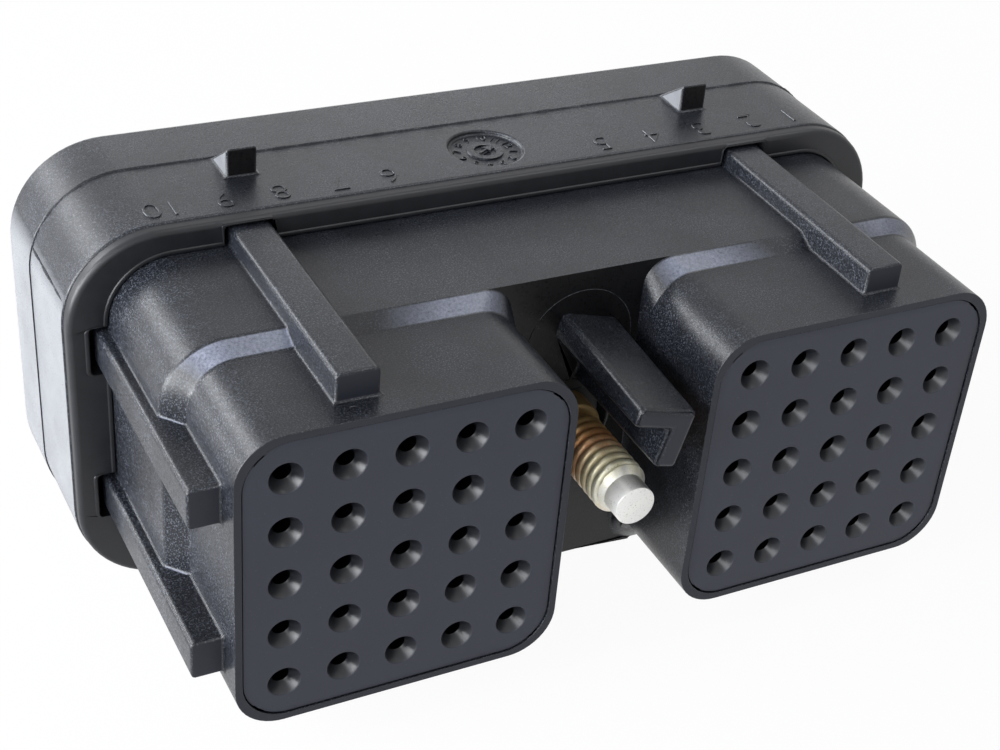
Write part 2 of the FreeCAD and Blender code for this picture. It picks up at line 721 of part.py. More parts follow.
def make_wire_seal():
    """Soft seal in the shell's rear, with a hole for each wire and one round the boss."""
    body = new_body("wire_seal")
    front = f"{FLANGE_REAR} + web_gap"
    slab = front_sketch(body, "slab", front)
    gap = "2 * grommet_clearance"
    add_rounded(
        slab,
        "0",
        "0",
        f"{CAVITY_WIDTH} - {gap}",
        f"{CAVITY_HEIGHT} - {gap}",
        f"{CAVITY_CORNER} - grommet_clearance",
    )
    add_circle(slab, "0", "0", f"{BOSS_RADIUS} + grommet_clearance")
    pad(body, slab, "grommet_length")
    hole = front_sketch(body, "wire_hole_outline", front)
    column = f"-1 * {BLOCK_SPACING} / 2 - {ARRAY_WIDTH} / 2"
    add_many_sided(hole, column, FIRST_ROW, "wire_hole", HOLE_SIDES)
    feature = pocket(body, hole, "grommet_length")
    steps = (
        ("X_Axis", ARRAY_WIDTH, "contact_columns"),
        ("Z_Axis", ARRAY_HEIGHT, "contact_rows"),
        ("X_Axis", BLOCK_SPACING, "2"),
    )
    repeat(body, feature, steps)
    return body


def make_jackscrew():
    """Turned screw: pilot, cone, thread, grooved shank and a head with a hexagon socket."""
    body = new_body("jackscrew")
    profile = side_sketch(body, "screw_profile", "0")
    tip = "-1 * dog_reach"
    thread_end = "thread_start + thread_length"
    relief_end = f"{thread_end} + relief_length"
    groove_front = f"{CLIP_FRONT} - clip_play"
    groove_rear = f"{CLIP_FRONT} + clip_thickness + clip_play"
    shank = "shank_width / 2"
    points = (
        (tip, "0"),
        (HEAD_REAR, "0"),
        (HEAD_REAR, "head_width / 2 - head_chamfer"),
        (f"{HEAD_REAR} - head_chamfer", "head_width / 2"),
        (HEAD_FRONT, "head_width / 2"),
        (HEAD_FRONT, shank),
        (groove_rear, shank),
        (groove_rear, CLIP_FLOOR),
        (groove_front, CLIP_FLOOR),
        (groove_front, shank),
        (relief_end, shank),
        (relief_end, "relief_width / 2"),
        (thread_end, "relief_width / 2"),
        (thread_end, "thread_width / 2"),
        ("thread_start", "thread_width / 2"),
        ("thread_start - cone_length", "dog_width / 2"),
        (tip, "dog_width / 2"),
    )
    add_polygon(profile, points)
    revolve(body, profile, "Revolution")
    socket = front_sketch(body, "hexagon_socket", HEAD_REAR)
    add_many_sided(socket, "0", "0", "hex_width", 6)
    pocket(body, socket, "hex_depth", to_rear=False)
    return body


def ring_body(label, y, length, outer, inner):
    """A flat ring round the jackscrew's axis."""
    body = new_body(label)
    outline = front_sketch(body, f"{label}_outline", y)
    add_circle(outline, "0", "0", outer)
    add_circle(outline, "0", "0", inner)
    pad(body, outline, length)
    return body


def make_retaining_ring():
    """Open spring ring in the shank's groove, in front of the wall."""
    body = ring_body(
        "retaining_ring",
        CLIP_FRONT,
        "clip_thickness",
        "clip_width / 2",
        f"{CLIP_FLOOR} + screw_clearance",
    )
    mouth = front_sketch(body, "clip_opening", CLIP_FRONT)
    add_rectangle(mouth, "-1 * clip_mouth / 2", "clip_mouth / 2", "-1 * clip_width", "0")
    pocket(body, mouth, "clip_thickness")
    return body


SUB_PARTS = [
    make_housing(),
    make_interface_seal(),
    make_wire_seal(),
    make_jackscrew(),
    make_retaining_ring(),
    ring_body(
        "thrust_washer",
        WASHER_FRONT,
        "washer_thickness",
        "washer_width / 2",
        SCREW_BORE,
    ),
    ring_body(
        "shank_seal",
        f"{WASHER_FRONT} - ( gland_depth + ring_section ) / 2",
        "ring_section",
        f"{GLAND_RADIUS} - screw_clearance / 2",
        "( shank_width + screw_clearance ) / 2",
    ),
]
for side, side_sign in SIDES:
    SUB_PARTS.append(make_face_insert(side, side_sign))
    SUB_PARTS.append(make_retention_insert(side, side_sign))


def with_flat_sides(shape):
    """The same solid, with planes for the flat sides that a loft left as splines."""
    faces = []
    for face in shape.Faces:
        plane = None if isinstance(face.Surface, Part.Plane) else face.findPlane()
        if plane and len(face.Wires) == 1:
            face = Part.Face(plane, face.OuterWire)
        faces.append(face)
    return Part.Solid(Part.Shell(faces))


for part in SUB_PARTS:
    part.Tip.Refine = True
doc.recompute()
for item in doc.Objects:
    if "Invalid" in item.State or "Error" in item.State:
        raise RuntimeError(f"{item.Name} failed: {item.State}")

os.makedirs("parts", exist_ok=True)
for part in SUB_PARTS:
    shape = with_flat_sides(part.Shape)
    if shape.isNull() or not shape.isValid():
        raise RuntimeError(f"{part.Label} has no valid shape")
    shape.exportStep(f"parts/{part.Label}.step")
    box = shape.BoundBox
    print(
        f"{part.Label}: {len(shape.Solids)} solid, {shape.Volume:.1f} mm3, "
        f"X {box.XMin:.2f} {box.XMax:.2f}, Y {box.YMin:.2f} {box.YMax:.2f}, "
        f"Z {box.ZMin:.2f} {box.ZMax:.2f}"
    )
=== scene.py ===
# %% [markdown]
# A sealed plug lies on its long side on a white table: two blocks of contact holes face us,
# with a plated jackscrew and a keying post between them, and a wide shell stands behind.
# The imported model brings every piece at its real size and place. This lesson dresses those
# pieces: moulded edges, a rolled thread, mould marks, and a finish for every surface.

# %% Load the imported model
import json
import math

import bmesh
import bpy
import numpy as np
from mathutils import Matrix, Vector


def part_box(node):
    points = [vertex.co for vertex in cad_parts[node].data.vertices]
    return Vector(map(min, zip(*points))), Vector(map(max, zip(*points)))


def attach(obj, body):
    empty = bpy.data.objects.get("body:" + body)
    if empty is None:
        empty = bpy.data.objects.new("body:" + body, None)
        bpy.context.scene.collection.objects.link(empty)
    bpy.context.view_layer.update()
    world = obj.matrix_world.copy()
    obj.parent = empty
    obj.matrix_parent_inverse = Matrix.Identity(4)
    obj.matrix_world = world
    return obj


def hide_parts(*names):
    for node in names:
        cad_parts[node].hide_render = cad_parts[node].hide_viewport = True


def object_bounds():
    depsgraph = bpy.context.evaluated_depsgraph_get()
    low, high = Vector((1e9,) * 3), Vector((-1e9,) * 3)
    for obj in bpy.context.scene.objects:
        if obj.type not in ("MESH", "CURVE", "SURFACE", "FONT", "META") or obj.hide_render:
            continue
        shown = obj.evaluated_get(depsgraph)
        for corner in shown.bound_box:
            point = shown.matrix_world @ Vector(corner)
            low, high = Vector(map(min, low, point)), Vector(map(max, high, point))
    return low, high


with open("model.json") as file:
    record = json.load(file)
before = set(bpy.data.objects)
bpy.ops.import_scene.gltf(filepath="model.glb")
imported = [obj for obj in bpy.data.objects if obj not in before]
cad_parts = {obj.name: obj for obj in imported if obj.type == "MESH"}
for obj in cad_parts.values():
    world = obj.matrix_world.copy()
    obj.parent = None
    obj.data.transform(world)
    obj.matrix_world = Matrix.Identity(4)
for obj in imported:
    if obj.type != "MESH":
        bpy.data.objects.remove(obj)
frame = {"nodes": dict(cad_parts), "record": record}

CAD_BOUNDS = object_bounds()
MM = 0.001
print("pieces:", sorted(frame["nodes"]))

# %% [markdown]
# The photograph was taken from the front left and from above, with the camera held at a
# slight roll. Its place was worked out from the 50 contact holes, whose pitch is known.
# The picture was cropped off centre, so the lens is shifted a little.

# %% Camera
CAMERA_PLACE = Vector((-57.66, -83.65, 76.21)) * MM
CAMERA_AZIMUTH = math.radians(31.43)
CAMERA_ELEVATION = math.radians(34.91)
CAMERA_ROLL = math.radians(6.60)
LENS_MM = 65.74
SENSOR_MM = 36.0
LENS_SHIFT = (-0.06, 0.055)
NEAREST = 0.005
FARTHEST = 20

forward = Vector((
    math.sin(CAMERA_AZIMUTH) * math.cos(CAMERA_ELEVATION),
    math.cos(CAMERA_AZIMUTH) * math.cos(CAMERA_ELEVATION),
    -math.sin(CAMERA_ELEVATION),
))
level = Vector((math.cos(CAMERA_AZIMUTH), -math.sin(CAMERA_AZIMUTH), 0))
upright = level.cross(forward)
right = math.cos(CAMERA_ROLL) * level + math.sin(CAMERA_ROLL) * upright
up = right.cross(forward)
turn = Matrix((right, up, -forward)).transposed()

camera_data = bpy.data.cameras.new("camera")
camera_data.lens = LENS_MM
camera_data.sensor_width = SENSOR_MM
camera_data.shift_x, camera_data.shift_y = LENS_SHIFT
camera_data.clip_start = NEAREST
camera_data.clip_end = FARTHEST
camera = bpy.data.objects.new("camera", camera_data)
camera.matrix_world = Matrix.Translation(CAMERA_PLACE) @ turn.to_4x4()
bpy.context.scene.collection.objects.link(camera)
bpy.context.scene.camera = camera
print("camera at", [round(x, 4) for x in camera.location])

# %% [markdown]
# A material is a small net of nodes. One helper adds a node with its settings and links, and
# one turns a colour as a painter writes it (sRGB hex) into the linear numbers that the
# renderer works with. Most finishes are speckled or cloudy and lie in bounds, so a material
# starts with its noises in real millimetres, and a zone says where a tone belongs.

# %% Helpers for materials
def linear(hex_colour):
    """An sRGB hex colour as linear red, green, blue and alpha."""
    parts = [int(hex_colour[k:k + 2], 16) / 255 for k in (1, 3, 5)]
    return [c / 12.92 if c <= 0.04045 else ((c + 0.055) / 1.055) ** 2.4 for c in parts] + [1]


def add(tree, kind, settings):
    """Adds a node: each setting is a property, or a value, hex colour or output for an input."""
    node = tree.nodes.new("ShaderNode" + kind)
    for name, value in settings.items():
        if isinstance(value, bpy.types.NodeSocket):
            tree.links.new(value, node.inputs[name])
        elif isinstance(name, str) and hasattr(node, name):
            setattr(node, name, value)
        elif isinstance(value, str):
            node.inputs[name].default_value = linear(value)
        else:
            node.inputs[name].default_value = value
    return node


def new_material(name, *lumps):
    """A material with texture coordinates and a noise for each row of lumps.

    A row is the size of the lumps in metres, the noise's detail and its roughness. Returns
    the material, its tree, the coordinates and the noises, whose values run from 0.3 to 0.7.
    """
    material = bpy.data.materials.new(name)
    material.use_nodes = True
    tree = material.node_tree
    tree.nodes.clear()
    texture = add(tree, "TexCoord", {}).outputs
    noises = []
    for size, detail, roughness in lumps:
        node = add(tree, "TexNoise", {"Vector": texture["Object"], "Scale": 1 / size,
                                      "Detail": detail, "Roughness": roughness})
        noises.append(node.outputs["Fac"])
    return material, tree, texture, noises


def zone(tree, *limits):
    """1 where every value has passed its second limit, falling to 0 at its first.

    A row is a value and its two limits, and may end with what is left in place of 0.
    """
    share = 1.0
    for value, start, end, *left in limits:
        level = add(tree, "MapRange", {"Value": value, "From Min": start, "From Max": end,
                                       "To Min": left[0] if left else 0.0})
        both = add(tree, "Math", {"operation": "MULTIPLY", 0: share, 1: level.outputs[0]})
        share = both.outputs[0]
    return share


def surface(tree, settings, height, strength, depth):
    """Ends a material: a principled surface with bumps of the given depth, and the output."""
    bump = add(tree, "Bump", {"Height": height, "Strength": strength, "Distance": depth})
    skin = add(tree, "BsdfPrincipled", {**settings, "Normal": bump.outputs["Normal"]})
    add(tree, "OutputMaterial", {"Surface": skin.outputs["BSDF"]})


# %% [markdown]
# Glass-filled nylon comes out of the mould nearly black, with a fine grain that the short
# fibres leave at the skin. It is satin, not matte: it mirrors a soft picture of the room.
# The faces that met the other half of the mould in front are smoother and bluer. The sloped
# steps, which the resin reached last, are coarser, and where they face up they are painted
# pale: partly that texture, partly a painted highlight of the light from above. Front faces
# behind the blocks, such as the wall between them, are painted near black as painted shade,
# and the end walls of the shell are painted pale as a painted reflection of the light from
# the left. A small sink mark sits on the left block. A real fibre is a hundredth of a
# millimetre thick, too fine to show, so the specks are drawn ten times that.

# %% Moulded glass-filled nylon
NYLON_LUMPS = (
    (0.20 * MM, 3.0, 0.8),
    (0.90 * MM, 3.0, 0.6),
    (0.11 * MM, 1.0, 0.5),
    (6.00 * MM, 5.0, 0.65),
)
FRONT_ZONE = 3.0 * MM
STEP_FRONT = 8.85 * MM
STEP_REAR = 10.25 * MM
WALL_PLACE = 10.3 * MM
SHELL_FRONT = 22.25 * MM
BORDER = 0.1 * MM
FACES_FRONT = (-0.90, -0.98)
SINK_PLACE = (-20.65 * MM, 1.15 * MM, 12.0 * MM)
SINK_RADIUS = 0.40 * MM
SINK_LEVEL = -4.0


def glass_filled_nylon():
    """Black moulded nylon: satin, speckled, smooth in front; painted light on steps and end walls,
    painted shade behind the blocks.
    """
    material, tree, texture, noises = new_material("glass_filled_nylon_moulded", *NYLON_LUMPS)
    grain, lumps, speck, cloud = noises
    place = texture["Object"]
    along = add(tree, "SeparateXYZ", {"Vector": place}).outputs["Y"]
    facing = add(tree, "SeparateXYZ", {"Vector": texture["Normal"]}).outputs
    sideways = add(tree, "Math", {"operation": "ABSOLUTE", 0: facing["X"]}).outputs[0]
    front = zone(tree, (facing["Y"], *FACES_FRONT), (along, FRONT_ZONE, 0.9 * FRONT_ZONE))
    # Partly painted highlight: the coarse steps are painted pale only where they face up, where the
    # light from above falls.
    step = zone(tree, (along, STEP_FRONT, STEP_FRONT + BORDER), (along, STEP_REAR, STEP_REAR - BORDER),
                (facing["Y"], -0.15, -0.35), (facing["Z"], 0.55, 0.80))
    fibres = zone(tree, (speck, 0.50, 0.74), (cloud, 0.40, 0.60, 0.45))
    # Painted shade: front faces behind the blocks, such as the wall between them, are painted near
    # black.
    wall = zone(tree, (facing["Y"], *FACES_FRONT), (along, WALL_PLACE - BORDER, WALL_PLACE - BORDER / 2))
    # Painted reflection: both end walls of the shell are painted pale, as the light from the left shines
    # on them, broken up by the cloud.
    painted_end_wall_sheen = zone(tree, (sideways, 0.93, 0.995), (along, SHELL_FRONT, SHELL_FRONT + BORDER),
                   (cloud, 0.30, 0.60, 0.70))
    pale = add(tree, "Mix", {"data_type": "RGBA", 0: zone(tree, (grain, 0.35, 0.65)),
                             6: "#666A78", 7: "#8E92A2"}).outputs[2]
    colour = "#08090D"
    for share, layer in ((cloud, "#171A21"), (fibres, "#555962"), (step, pale), (wall, "#050507"),
                         (painted_end_wall_sheen, "#7E8084"), (front, "#1D2029")):
        colour = add(tree, "Mix", {"data_type": "RGBA", 0: share, 6: colour, 7: layer}).outputs[2]
    satin = add(tree, "MapRange", {"Value": grain, "From Min": 0.3, "From Max": 0.7,
                                   "To Min": 0.24, "To Max": 0.44})
    gloss = add(tree, "Mix", {0: front, 2: satin.outputs[0], 3: 0.58})
    away = add(tree, "VectorMath", {"operation": "DISTANCE", 0: place, 1: SINK_PLACE})
    sink = add(tree, "MapRange", {"Value": away.outputs["Value"], "From Min": 0.8 * SINK_RADIUS,
                                  "From Max": SINK_RADIUS, "To Min": SINK_LEVEL, "To Max": 0.0})
    calm = add(tree, "MapRange", {"Value": front, "To Min": 1.0, "To Max": 0.25})
    fine = add(tree, "Math", {"operation": "MULTIPLY", 0: calm.outputs[0], 1: grain})
    rough = add(tree, "Math", {"operation": "MULTIPLY_ADD", 0: lumps, 1: 0.5, 2: fine.outputs[0]})
    height = add(tree, "Math", {"operation": "ADD", 0: rough.outputs[0], 1: sink.outputs[0]})
    look = {"IOR": 1.53, "Specular IOR Level": 0.34, "Base Color": colour,
            "Roughness": gloss.outputs[0]}
    surface(tree, look, height.outputs[0], 0.55, 0.026 * MM)
    return material


# %% [markdown]
# The two face inserts are moulded from a finer, duller plastic with a blue cast. Their
# holes are polished by the core pins, so below the face the same plastic is a little darker
# and glossier, and past the cone the bore is painted near black as painted shade: ramps on
# the depth behind the mating face do that.

# %% Moulded insert plastic
FACE_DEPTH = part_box("left_face_insert")[0].y
MOUTH_ZONE = (FACE_DEPTH + 0.03 * MM, FACE_DEPTH + 0.10 * MM)
PIN_ZONE = (FACE_DEPTH + 0.80 * MM, FACE_DEPTH + 0.90 * MM)


def insert_plastic():
    """Dull blue-black moulded plastic whose holes are glossier, with painted shade deep in the bore."""
    material, tree, texture, noises = new_material(
        "pbt_moulded_fine", (0.20 * MM, 2.0, 0.6), (5 * MM, 3.0, 0.6), (0.14 * MM, 0.0, 0.5))
    grain, cloud, speck = noises
    along = add(tree, "SeparateXYZ", {"Vector": texture["Object"]}).outputs["Y"]
    deep = zone(tree, (along, *MOUTH_ZONE))
    # Painted shade: past the cone the bore is painted near black, as shade falls deep in a hole.
    cone_tone_and_bore_shade = add(tree, "Mix", {"data_type": "RGBA", 0: zone(tree, (along, *PIN_ZONE)),
                                 6: "#1B1D23", 7: "#030304"}).outputs[2]
    dust = zone(tree, (speck, 0.78, 0.90))
    colour = "#181B28"
    for share, layer in ((cloud, "#212534"), (dust, "#3C3E46"), (deep, cone_tone_and_bore_shade)):
        colour = add(tree, "Mix", {"data_type": "RGBA", 0: share, 6: colour, 7: layer}).outputs[2]
    gloss = add(tree, "MapRange", {"Value": deep, "To Min": 0.60, "To Max": 0.30}).outputs[0]
    surface(tree, {"IOR": 1.55, "Base Color": colour, "Roughness": gloss}, grain, 0.25, 0.01 * MM)
    return material


# %% [markdown]
# The seals are pressed silicone: smooth, almost black, with a broad soft shine and a little
# dust. Both the ring in front of the shell and the block behind it share the finish.

# %% Silicone rubber
def pressed_rubber(name, colour, dull):
    """Smooth pressed rubber with a faint bloom; its roughness lies round dull."""
    material, tree, _, (bloom,) = new_material(name, (1.5 * MM, 5.0, 0.65))
    clouded = add(tree, "Mix", {"data_type": "RGBA", 0: bloom, 6: colour, 7: "#26272B"}).outputs[2]
    gloss = add(tree, "MapRange", {"Value": bloom, "To Min": dull - 0.08, "To Max": dull + 0.08})
    look = {"IOR": 1.43, "Base Color": clouded, "Roughness": gloss.outputs[0]}
    surface(tree, look, bloom, 0.2, 0.02 * MM)
    return material


# %% [markdown]
# The screw is steel with a thin zinc plate. Its passivated skin shows interference colours:
# silver at the tip, straw and olive on the first turns, amber and copper further in. Heat
# and handling made the bands, so they follow the length, and a cloudy noise breaks them up.
# Below a given height, towards the bottom of the screw, the colour turns pale pinkish cream.
# The washer and the ring are dark spring steel. Both metals keep the usual IOR.

# %% Zinc-plated steel and spring steel
THREAD_BANDS = (
    (0.00, "#F0EFEB"), (0.13, "#F6F4EC"), (0.24, "#E6E2C6"), (0.42, "#E2D5AE"),
    (0.55, "#DDB287"), (0.66, "#C98F5B"), (0.80, "#CFAA72"), (1.00, "#B89A68"))
COLOURED_LENGTH = 9.0 * MM
CREAM_HEIGHTS = (-0.4 * MM, -1.6 * MM)


def zinc_plated_steel():
    """Zinc plate with a passivated skin: silver, straw, olive, amber and cream in bands."""
    material, tree, texture, (cloud, fine) = new_material(
        "zinc_plated_steel_passivated", (1.3 * MM, 5.0, 0.65), (0.12 * MM, 3.0, 0.6))
    split = add(tree, "SeparateXYZ", {"Vector": texture["Object"]}).outputs
    along = add(tree, "MapRange", {"Value": split["Y"], "From Max": COLOURED_LENGTH}).outputs[0]
    drift = add(tree, "MapRange", {"Value": cloud, "From Min": 0.3, "From Max": 0.7,
                                   "To Min": -0.10, "To Max": 0.10})
    shifted = add(tree, "Math", {"operation": "ADD", 0: along, 1: drift.outputs[0]})
    bands = add(tree, "ValToRGB", {"Fac": shifted.outputs[0]})
    ramp = bands.color_ramp
    ramp.elements[0].color = linear(THREAD_BANDS[0][1])
    ramp.elements[1].color = linear(THREAD_BANDS[-1][1])
    for position, band_colour in THREAD_BANDS[1:-1]:
        ramp.elements.new(position).color = linear(band_colour)
    below = zone(tree, (split["Z"], *CREAM_HEIGHTS), (along, 0.15, 0.25))
    specks = add(tree, "Math", {"operation": "MULTIPLY", 0: zone(tree, (fine, 0.60, 0.70)), 1: cloud})
    colour = bands.outputs["Color"]
    for share, layer in ((below, "#E8D6C8"), (specks.outputs[0], "#6A655A")):
        colour = add(tree, "Mix", {"data_type": "RGBA", 0: share, 6: colour, 7: layer}).outputs[2]
    gloss = add(tree, "MapRange", {"Value": cloud, "From Min": 0.3, "From Max": 0.7,
                                   "To Min": 0.28, "To Max": 0.46})
    look = {"Metallic": 0.40, "Base Color": colour, "Roughness": gloss.outputs[0]}
    surface(tree, look, fine, 0.35, 0.010 * MM)
    return material


def phosphated_steel():
    """Dark phosphated spring steel, for the washer and the ring inside the plug."""
    material, tree, _, (fine,) = new_material("spring_steel_phosphated", (0.2 * MM, 3.0, 0.6))
    colour = add(tree, "Mix", {"data_type": "RGBA", 0: fine, 6: "#1F1F20", 7: "#2E2D2C"})
    gloss = add(tree, "MapRange", {"Value": fine, "To Min": 0.45, "To Max": 0.65})
    look = {"Base Color": colour.outputs[2], "Roughness": gloss.outputs[0]}
    surface(tree, look, fine, 0.2, 0.01 * MM)
    return material


FINISH = {
    "housing_plastic": glass_filled_nylon(),
    "insert_plastic": insert_plastic(),
    "seal_rubber": pressed_rubber("silicone_rubber_pressed", "#101114", 0.42),
    "ring_rubber": pressed_rubber("nitrile_rubber_pressed", "#0D0D0E", 0.5),
    "plated_steel": zinc_plated_steel(),
    "washer_steel": phosphated_steel(),
}
print("materials:", [m.name for m in FINISH.values()])

# %% [markdown]
# No moulded edge is sharp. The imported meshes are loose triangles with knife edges, so a
# copy of a node is merged, its flat faces are joined again, and a Bevel modifier rounds
# each edge that turns by more than 17 degrees. A weight on the edge says how much: the rims
# of the blocks were shut off by steel on steel and stay crisp, and the long edges of the
# ribs and the post are softer than the rest. The copy stands for the node.

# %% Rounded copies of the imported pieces
EDGE_ANGLE = math.radians(17)
WELD = 0.0005 * MM
FLAT = math.radians(0.1)
FRONT_RIM = 0.05 * MM
RIM_RADIUS = 0.05 * MM
BAND_STEP_Y = 30.3 * MM
BAND_STEP_RADIUS = 0.04 * MM
SOFT_RADIUS = 0.42 * MM
SHARP_RADIUS = 0.01 * MM
BEVEL_SEGMENTS = 3
ROOM_SHARE = 0.45
SIDE_BY_SIDE = math.cos(math.radians(30))
TOP_RIB_HEIGHT = 14.10 * MM
SIDE_RIB_REACH = 31.10 * MM
LONG_EDGE = 1.4 * MM
GAP_WALL_TOP = ((-1.0 * MM, 8.7 * MM, 8.0 * MM), (9.5 * MM, 10.5 * MM, 12.9 * MM))
POST_BOX = ((-5.1 * MM, -1.6 * MM, 2.5 * MM), (5.1 * MM, 10.4 * MM, 12.6 * MM))
SLOTS = {s["node"]: s["material_slot"] for s in frame["record"]["subparts"]}
BODY = {n: b for b, nodes in frame["record"]["behaviour"]["bodies"].items() for n in nodes}


def stand_for(piece, node):
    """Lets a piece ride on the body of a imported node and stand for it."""
    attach(piece, BODY[node])
    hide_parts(node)


def shown(name, mesh, slot):
    """A new object that shows a mesh in the finish of a slot."""
    mesh.materials.append(FINISH[slot])
    piece = bpy.data.objects.new(name, mesh)
    bpy.context.scene.collection.objects.link(piece)
    print(name, len(mesh.polygons), "faces")
    return piece


def room_beside(edge):
    """A share of the shortest edge that leaves the edge's ends at more than 30 degrees."""
    run = (edge.verts[1].co - edge.verts[0].co).normalized()
    room = [other.calc_length() for vertex in edge.verts for other in vertex.link_edges
            if abs(run.dot((other.verts[1].co - other.verts[0].co).normalized())) < SIDE_BY_SIDE]
    return ROOM_SHARE * min(room, default=1.0)


def wanted_radius(edge, usual):
    """Crisp on the front rims, soft on the long edges of ribs and post, else the usual radius."""
    points = [vertex.co for vertex in edge.verts]
    if all(abs(p.y) < FRONT_RIM for p in points):
        return RIM_RADIUS
    if all(abs(p.y - BAND_STEP_Y) < WELD for p in points):
        return BAND_STEP_RADIUS
    on_rib = all(abs(abs(p.z) - TOP_RIB_HEIGHT) < WELD or abs(abs(p.x) - SIDE_RIB_REACH) < WELD
                 for p in points)
    low, high = POST_BOX
    on_post = all(low[k] < p[k] < high[k] for p in points for k in range(3))
    lengthwise = abs(points[1].y - points[0].y) > LONG_EDGE
    if (on_rib or on_post) and lengthwise:
        return SOFT_RADIUS
    low, high = GAP_WALL_TOP
    if any(low[0] < abs(p.x) < high[0] and low[1] < p.y < high[1] and low[2] < p.z < high[2]
           for p in points):
        return 0.0
    return min(usual, room_beside(edge))


def rounded_copy(node, radius):
    """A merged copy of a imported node, its edges rounded by radius, standing for the node."""
    source = frame["nodes"][node]
    work = bmesh.new()
    work.from_mesh(source.data)
    bmesh.ops.remove_doubles(work, verts=work.verts, dist=WELD)
    bmesh.ops.dissolve_limit(work, angle_limit=FLAT, verts=work.verts, edges=work.edges)
    weight = work.edges.layers.float.new("bevel_weight_edge")
    for edge in work.edges:
        if edge.is_manifold and edge.calc_face_angle() > EDGE_ANGLE:
            rounding = wanted_radius(edge, radius)
            edge[weight] = rounding / SOFT_RADIUS
            edge.smooth = rounding > SHARP_RADIUS
    for face in work.faces:
        face.smooth = True
    mesh = bpy.data.meshes.new(node + "_dressed")
    work.to_mesh(mesh)
    work.free()
    piece = shown(node + "_dressed", mesh, SLOTS[node])
    bevel = piece.modifiers.new("moulded_edges", "BEVEL")
    bevel.width = SOFT_RADIUS
    bevel.segments = BEVEL_SEGMENTS
    bevel.limit_method = "WEIGHT"
    bevel.use_clamp_overlap = False
    flatten = piece.modifiers.new("flat_faces_stay_flat", "WEIGHTED_NORMAL")
    flatten.keep_sharp = True
    flatten.weight = 100
    stand_for(piece, node)


EDGE_RADIUS = {
    "housing": 0.22 * MM,
    "left_retention_insert": 0.10 * MM,
    "right_retention_insert": 0.10 * MM,
    "thrust_washer": 0.05 * MM,
    "retaining_ring": 0.05 * MM,
    "shank_seal": 0.15 * MM,
}
for node_name, edge_radius in EDGE_RADIUS.items():
    rounded_copy(node_name, edge_radius)

# %% [markdown]
# The pieces with fine round forms are worked out as surfaces. A grid is an array of points
# in rows and columns, and the columns close into rings: rings along an axis make a turned
# part, rings down a hole make a hole, and a small ring carried along a path makes a ridge.
# One function turns such grids into a closed mesh, with its seams merged.

# %% Closed meshes from rings of points
SMOOTH_ANGLE = math.radians(32)


def welded(mesh, with_slivers):
    """Merges the points that meet, and turns every face outward; slivers can be dropped too."""
    work = bmesh.new()
    work.from_mesh(mesh)
    bmesh.ops.remove_doubles(work, verts=work.verts, dist=WELD)
    if not with_slivers:
        bmesh.ops.dissolve_degenerate(work, dist=WELD, edges=work.edges)
    bmesh.ops.recalc_face_normals(work, faces=work.faces)
    work.to_mesh(mesh)
    work.free()


def solid_from_rings(name, grids, slot):
    """One mesh from grids of points [rows, columns, 3] whose columns form closed rings.

    Each point is joined with its neighbour in the ring and with the same two points of the
    next ring, so four points make a face.
    """
    corners = []
    faces = []
    count = 0
    for grid in grids:
        rows, columns = grid.shape[:2]
        here = count + np.arange(rows * columns).reshape(rows, columns)
        beside = np.roll(here, -1, axis=1)
        quads = np.stack((here[:-1], beside[:-1], beside[1:], here[1:]), axis=-1)
        faces.append(quads.reshape(-1, 4))
        corners.append(grid.reshape(-1, 3))
        count += rows * columns
    mesh = bpy.data.meshes.new(name)
    mesh.from_pydata(np.concatenate(corners).tolist(), [], np.concatenate(faces).tolist())
    welded(mesh, with_slivers=False)
    mesh.shade_smooth()
    mesh.set_sharp_from_angle(angle=SMOOTH_ANGLE)
    return shown(name, mesh, slot)


# %% [markdown]
# The jackscrew was turned from bar, and its thread was rolled, which leaves broad round
# crests and narrow dark valleys. A thread is not a stack of rings: the crest climbs one
# pitch in one turn, so the radius depends on both the place along the axis and the angle.
# The whole screw is that one surface, from the pilot's tip to the floor of its hexagon.

# %% Jackscrew
SCREW_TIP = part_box("jackscrew")[0].y
SCREW_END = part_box("jackscrew")[1].y
THREAD_PITCH = 0.79 * MM
THREAD_RADIUS = 2.085 * MM
THREAD_ROOT = 1.72 * MM
THREAD_FRONT = 1.9 * MM
THREAD_REAR = 8.6 * MM
CREST_POWER = 2.6
PILOT_RADIUS = 1.525 * MM
CONE_LENGTH = 0.6 * MM
RELIEF_RADIUS = 1.75 * MM
RELIEF_LENGTH = 0.4 * MM
SHANK_RADIUS = 2.4 * MM
GROOVE_RADIUS = 1.95 * MM
GROOVE_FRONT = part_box("retaining_ring")[0].y - 0.1 * MM
GROOVE_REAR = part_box("retaining_ring")[1].y + 0.1 * MM
HEAD_RADIUS = 3.8 * MM
HEAD_LENGTH = 4.4 * MM
HEAD_EDGE = 0.4 * MM
HEX_HALF = 3.97 / 2 * MM
HEX_DEPTH = 2.6 * MM
ROUND = 0.12 * MM
TIP_ROUND = 0.05 * MM
MIDDLE_OF_ROUND = 0.3
ROWS_PER_TURN = 16
RING_POINTS = 96


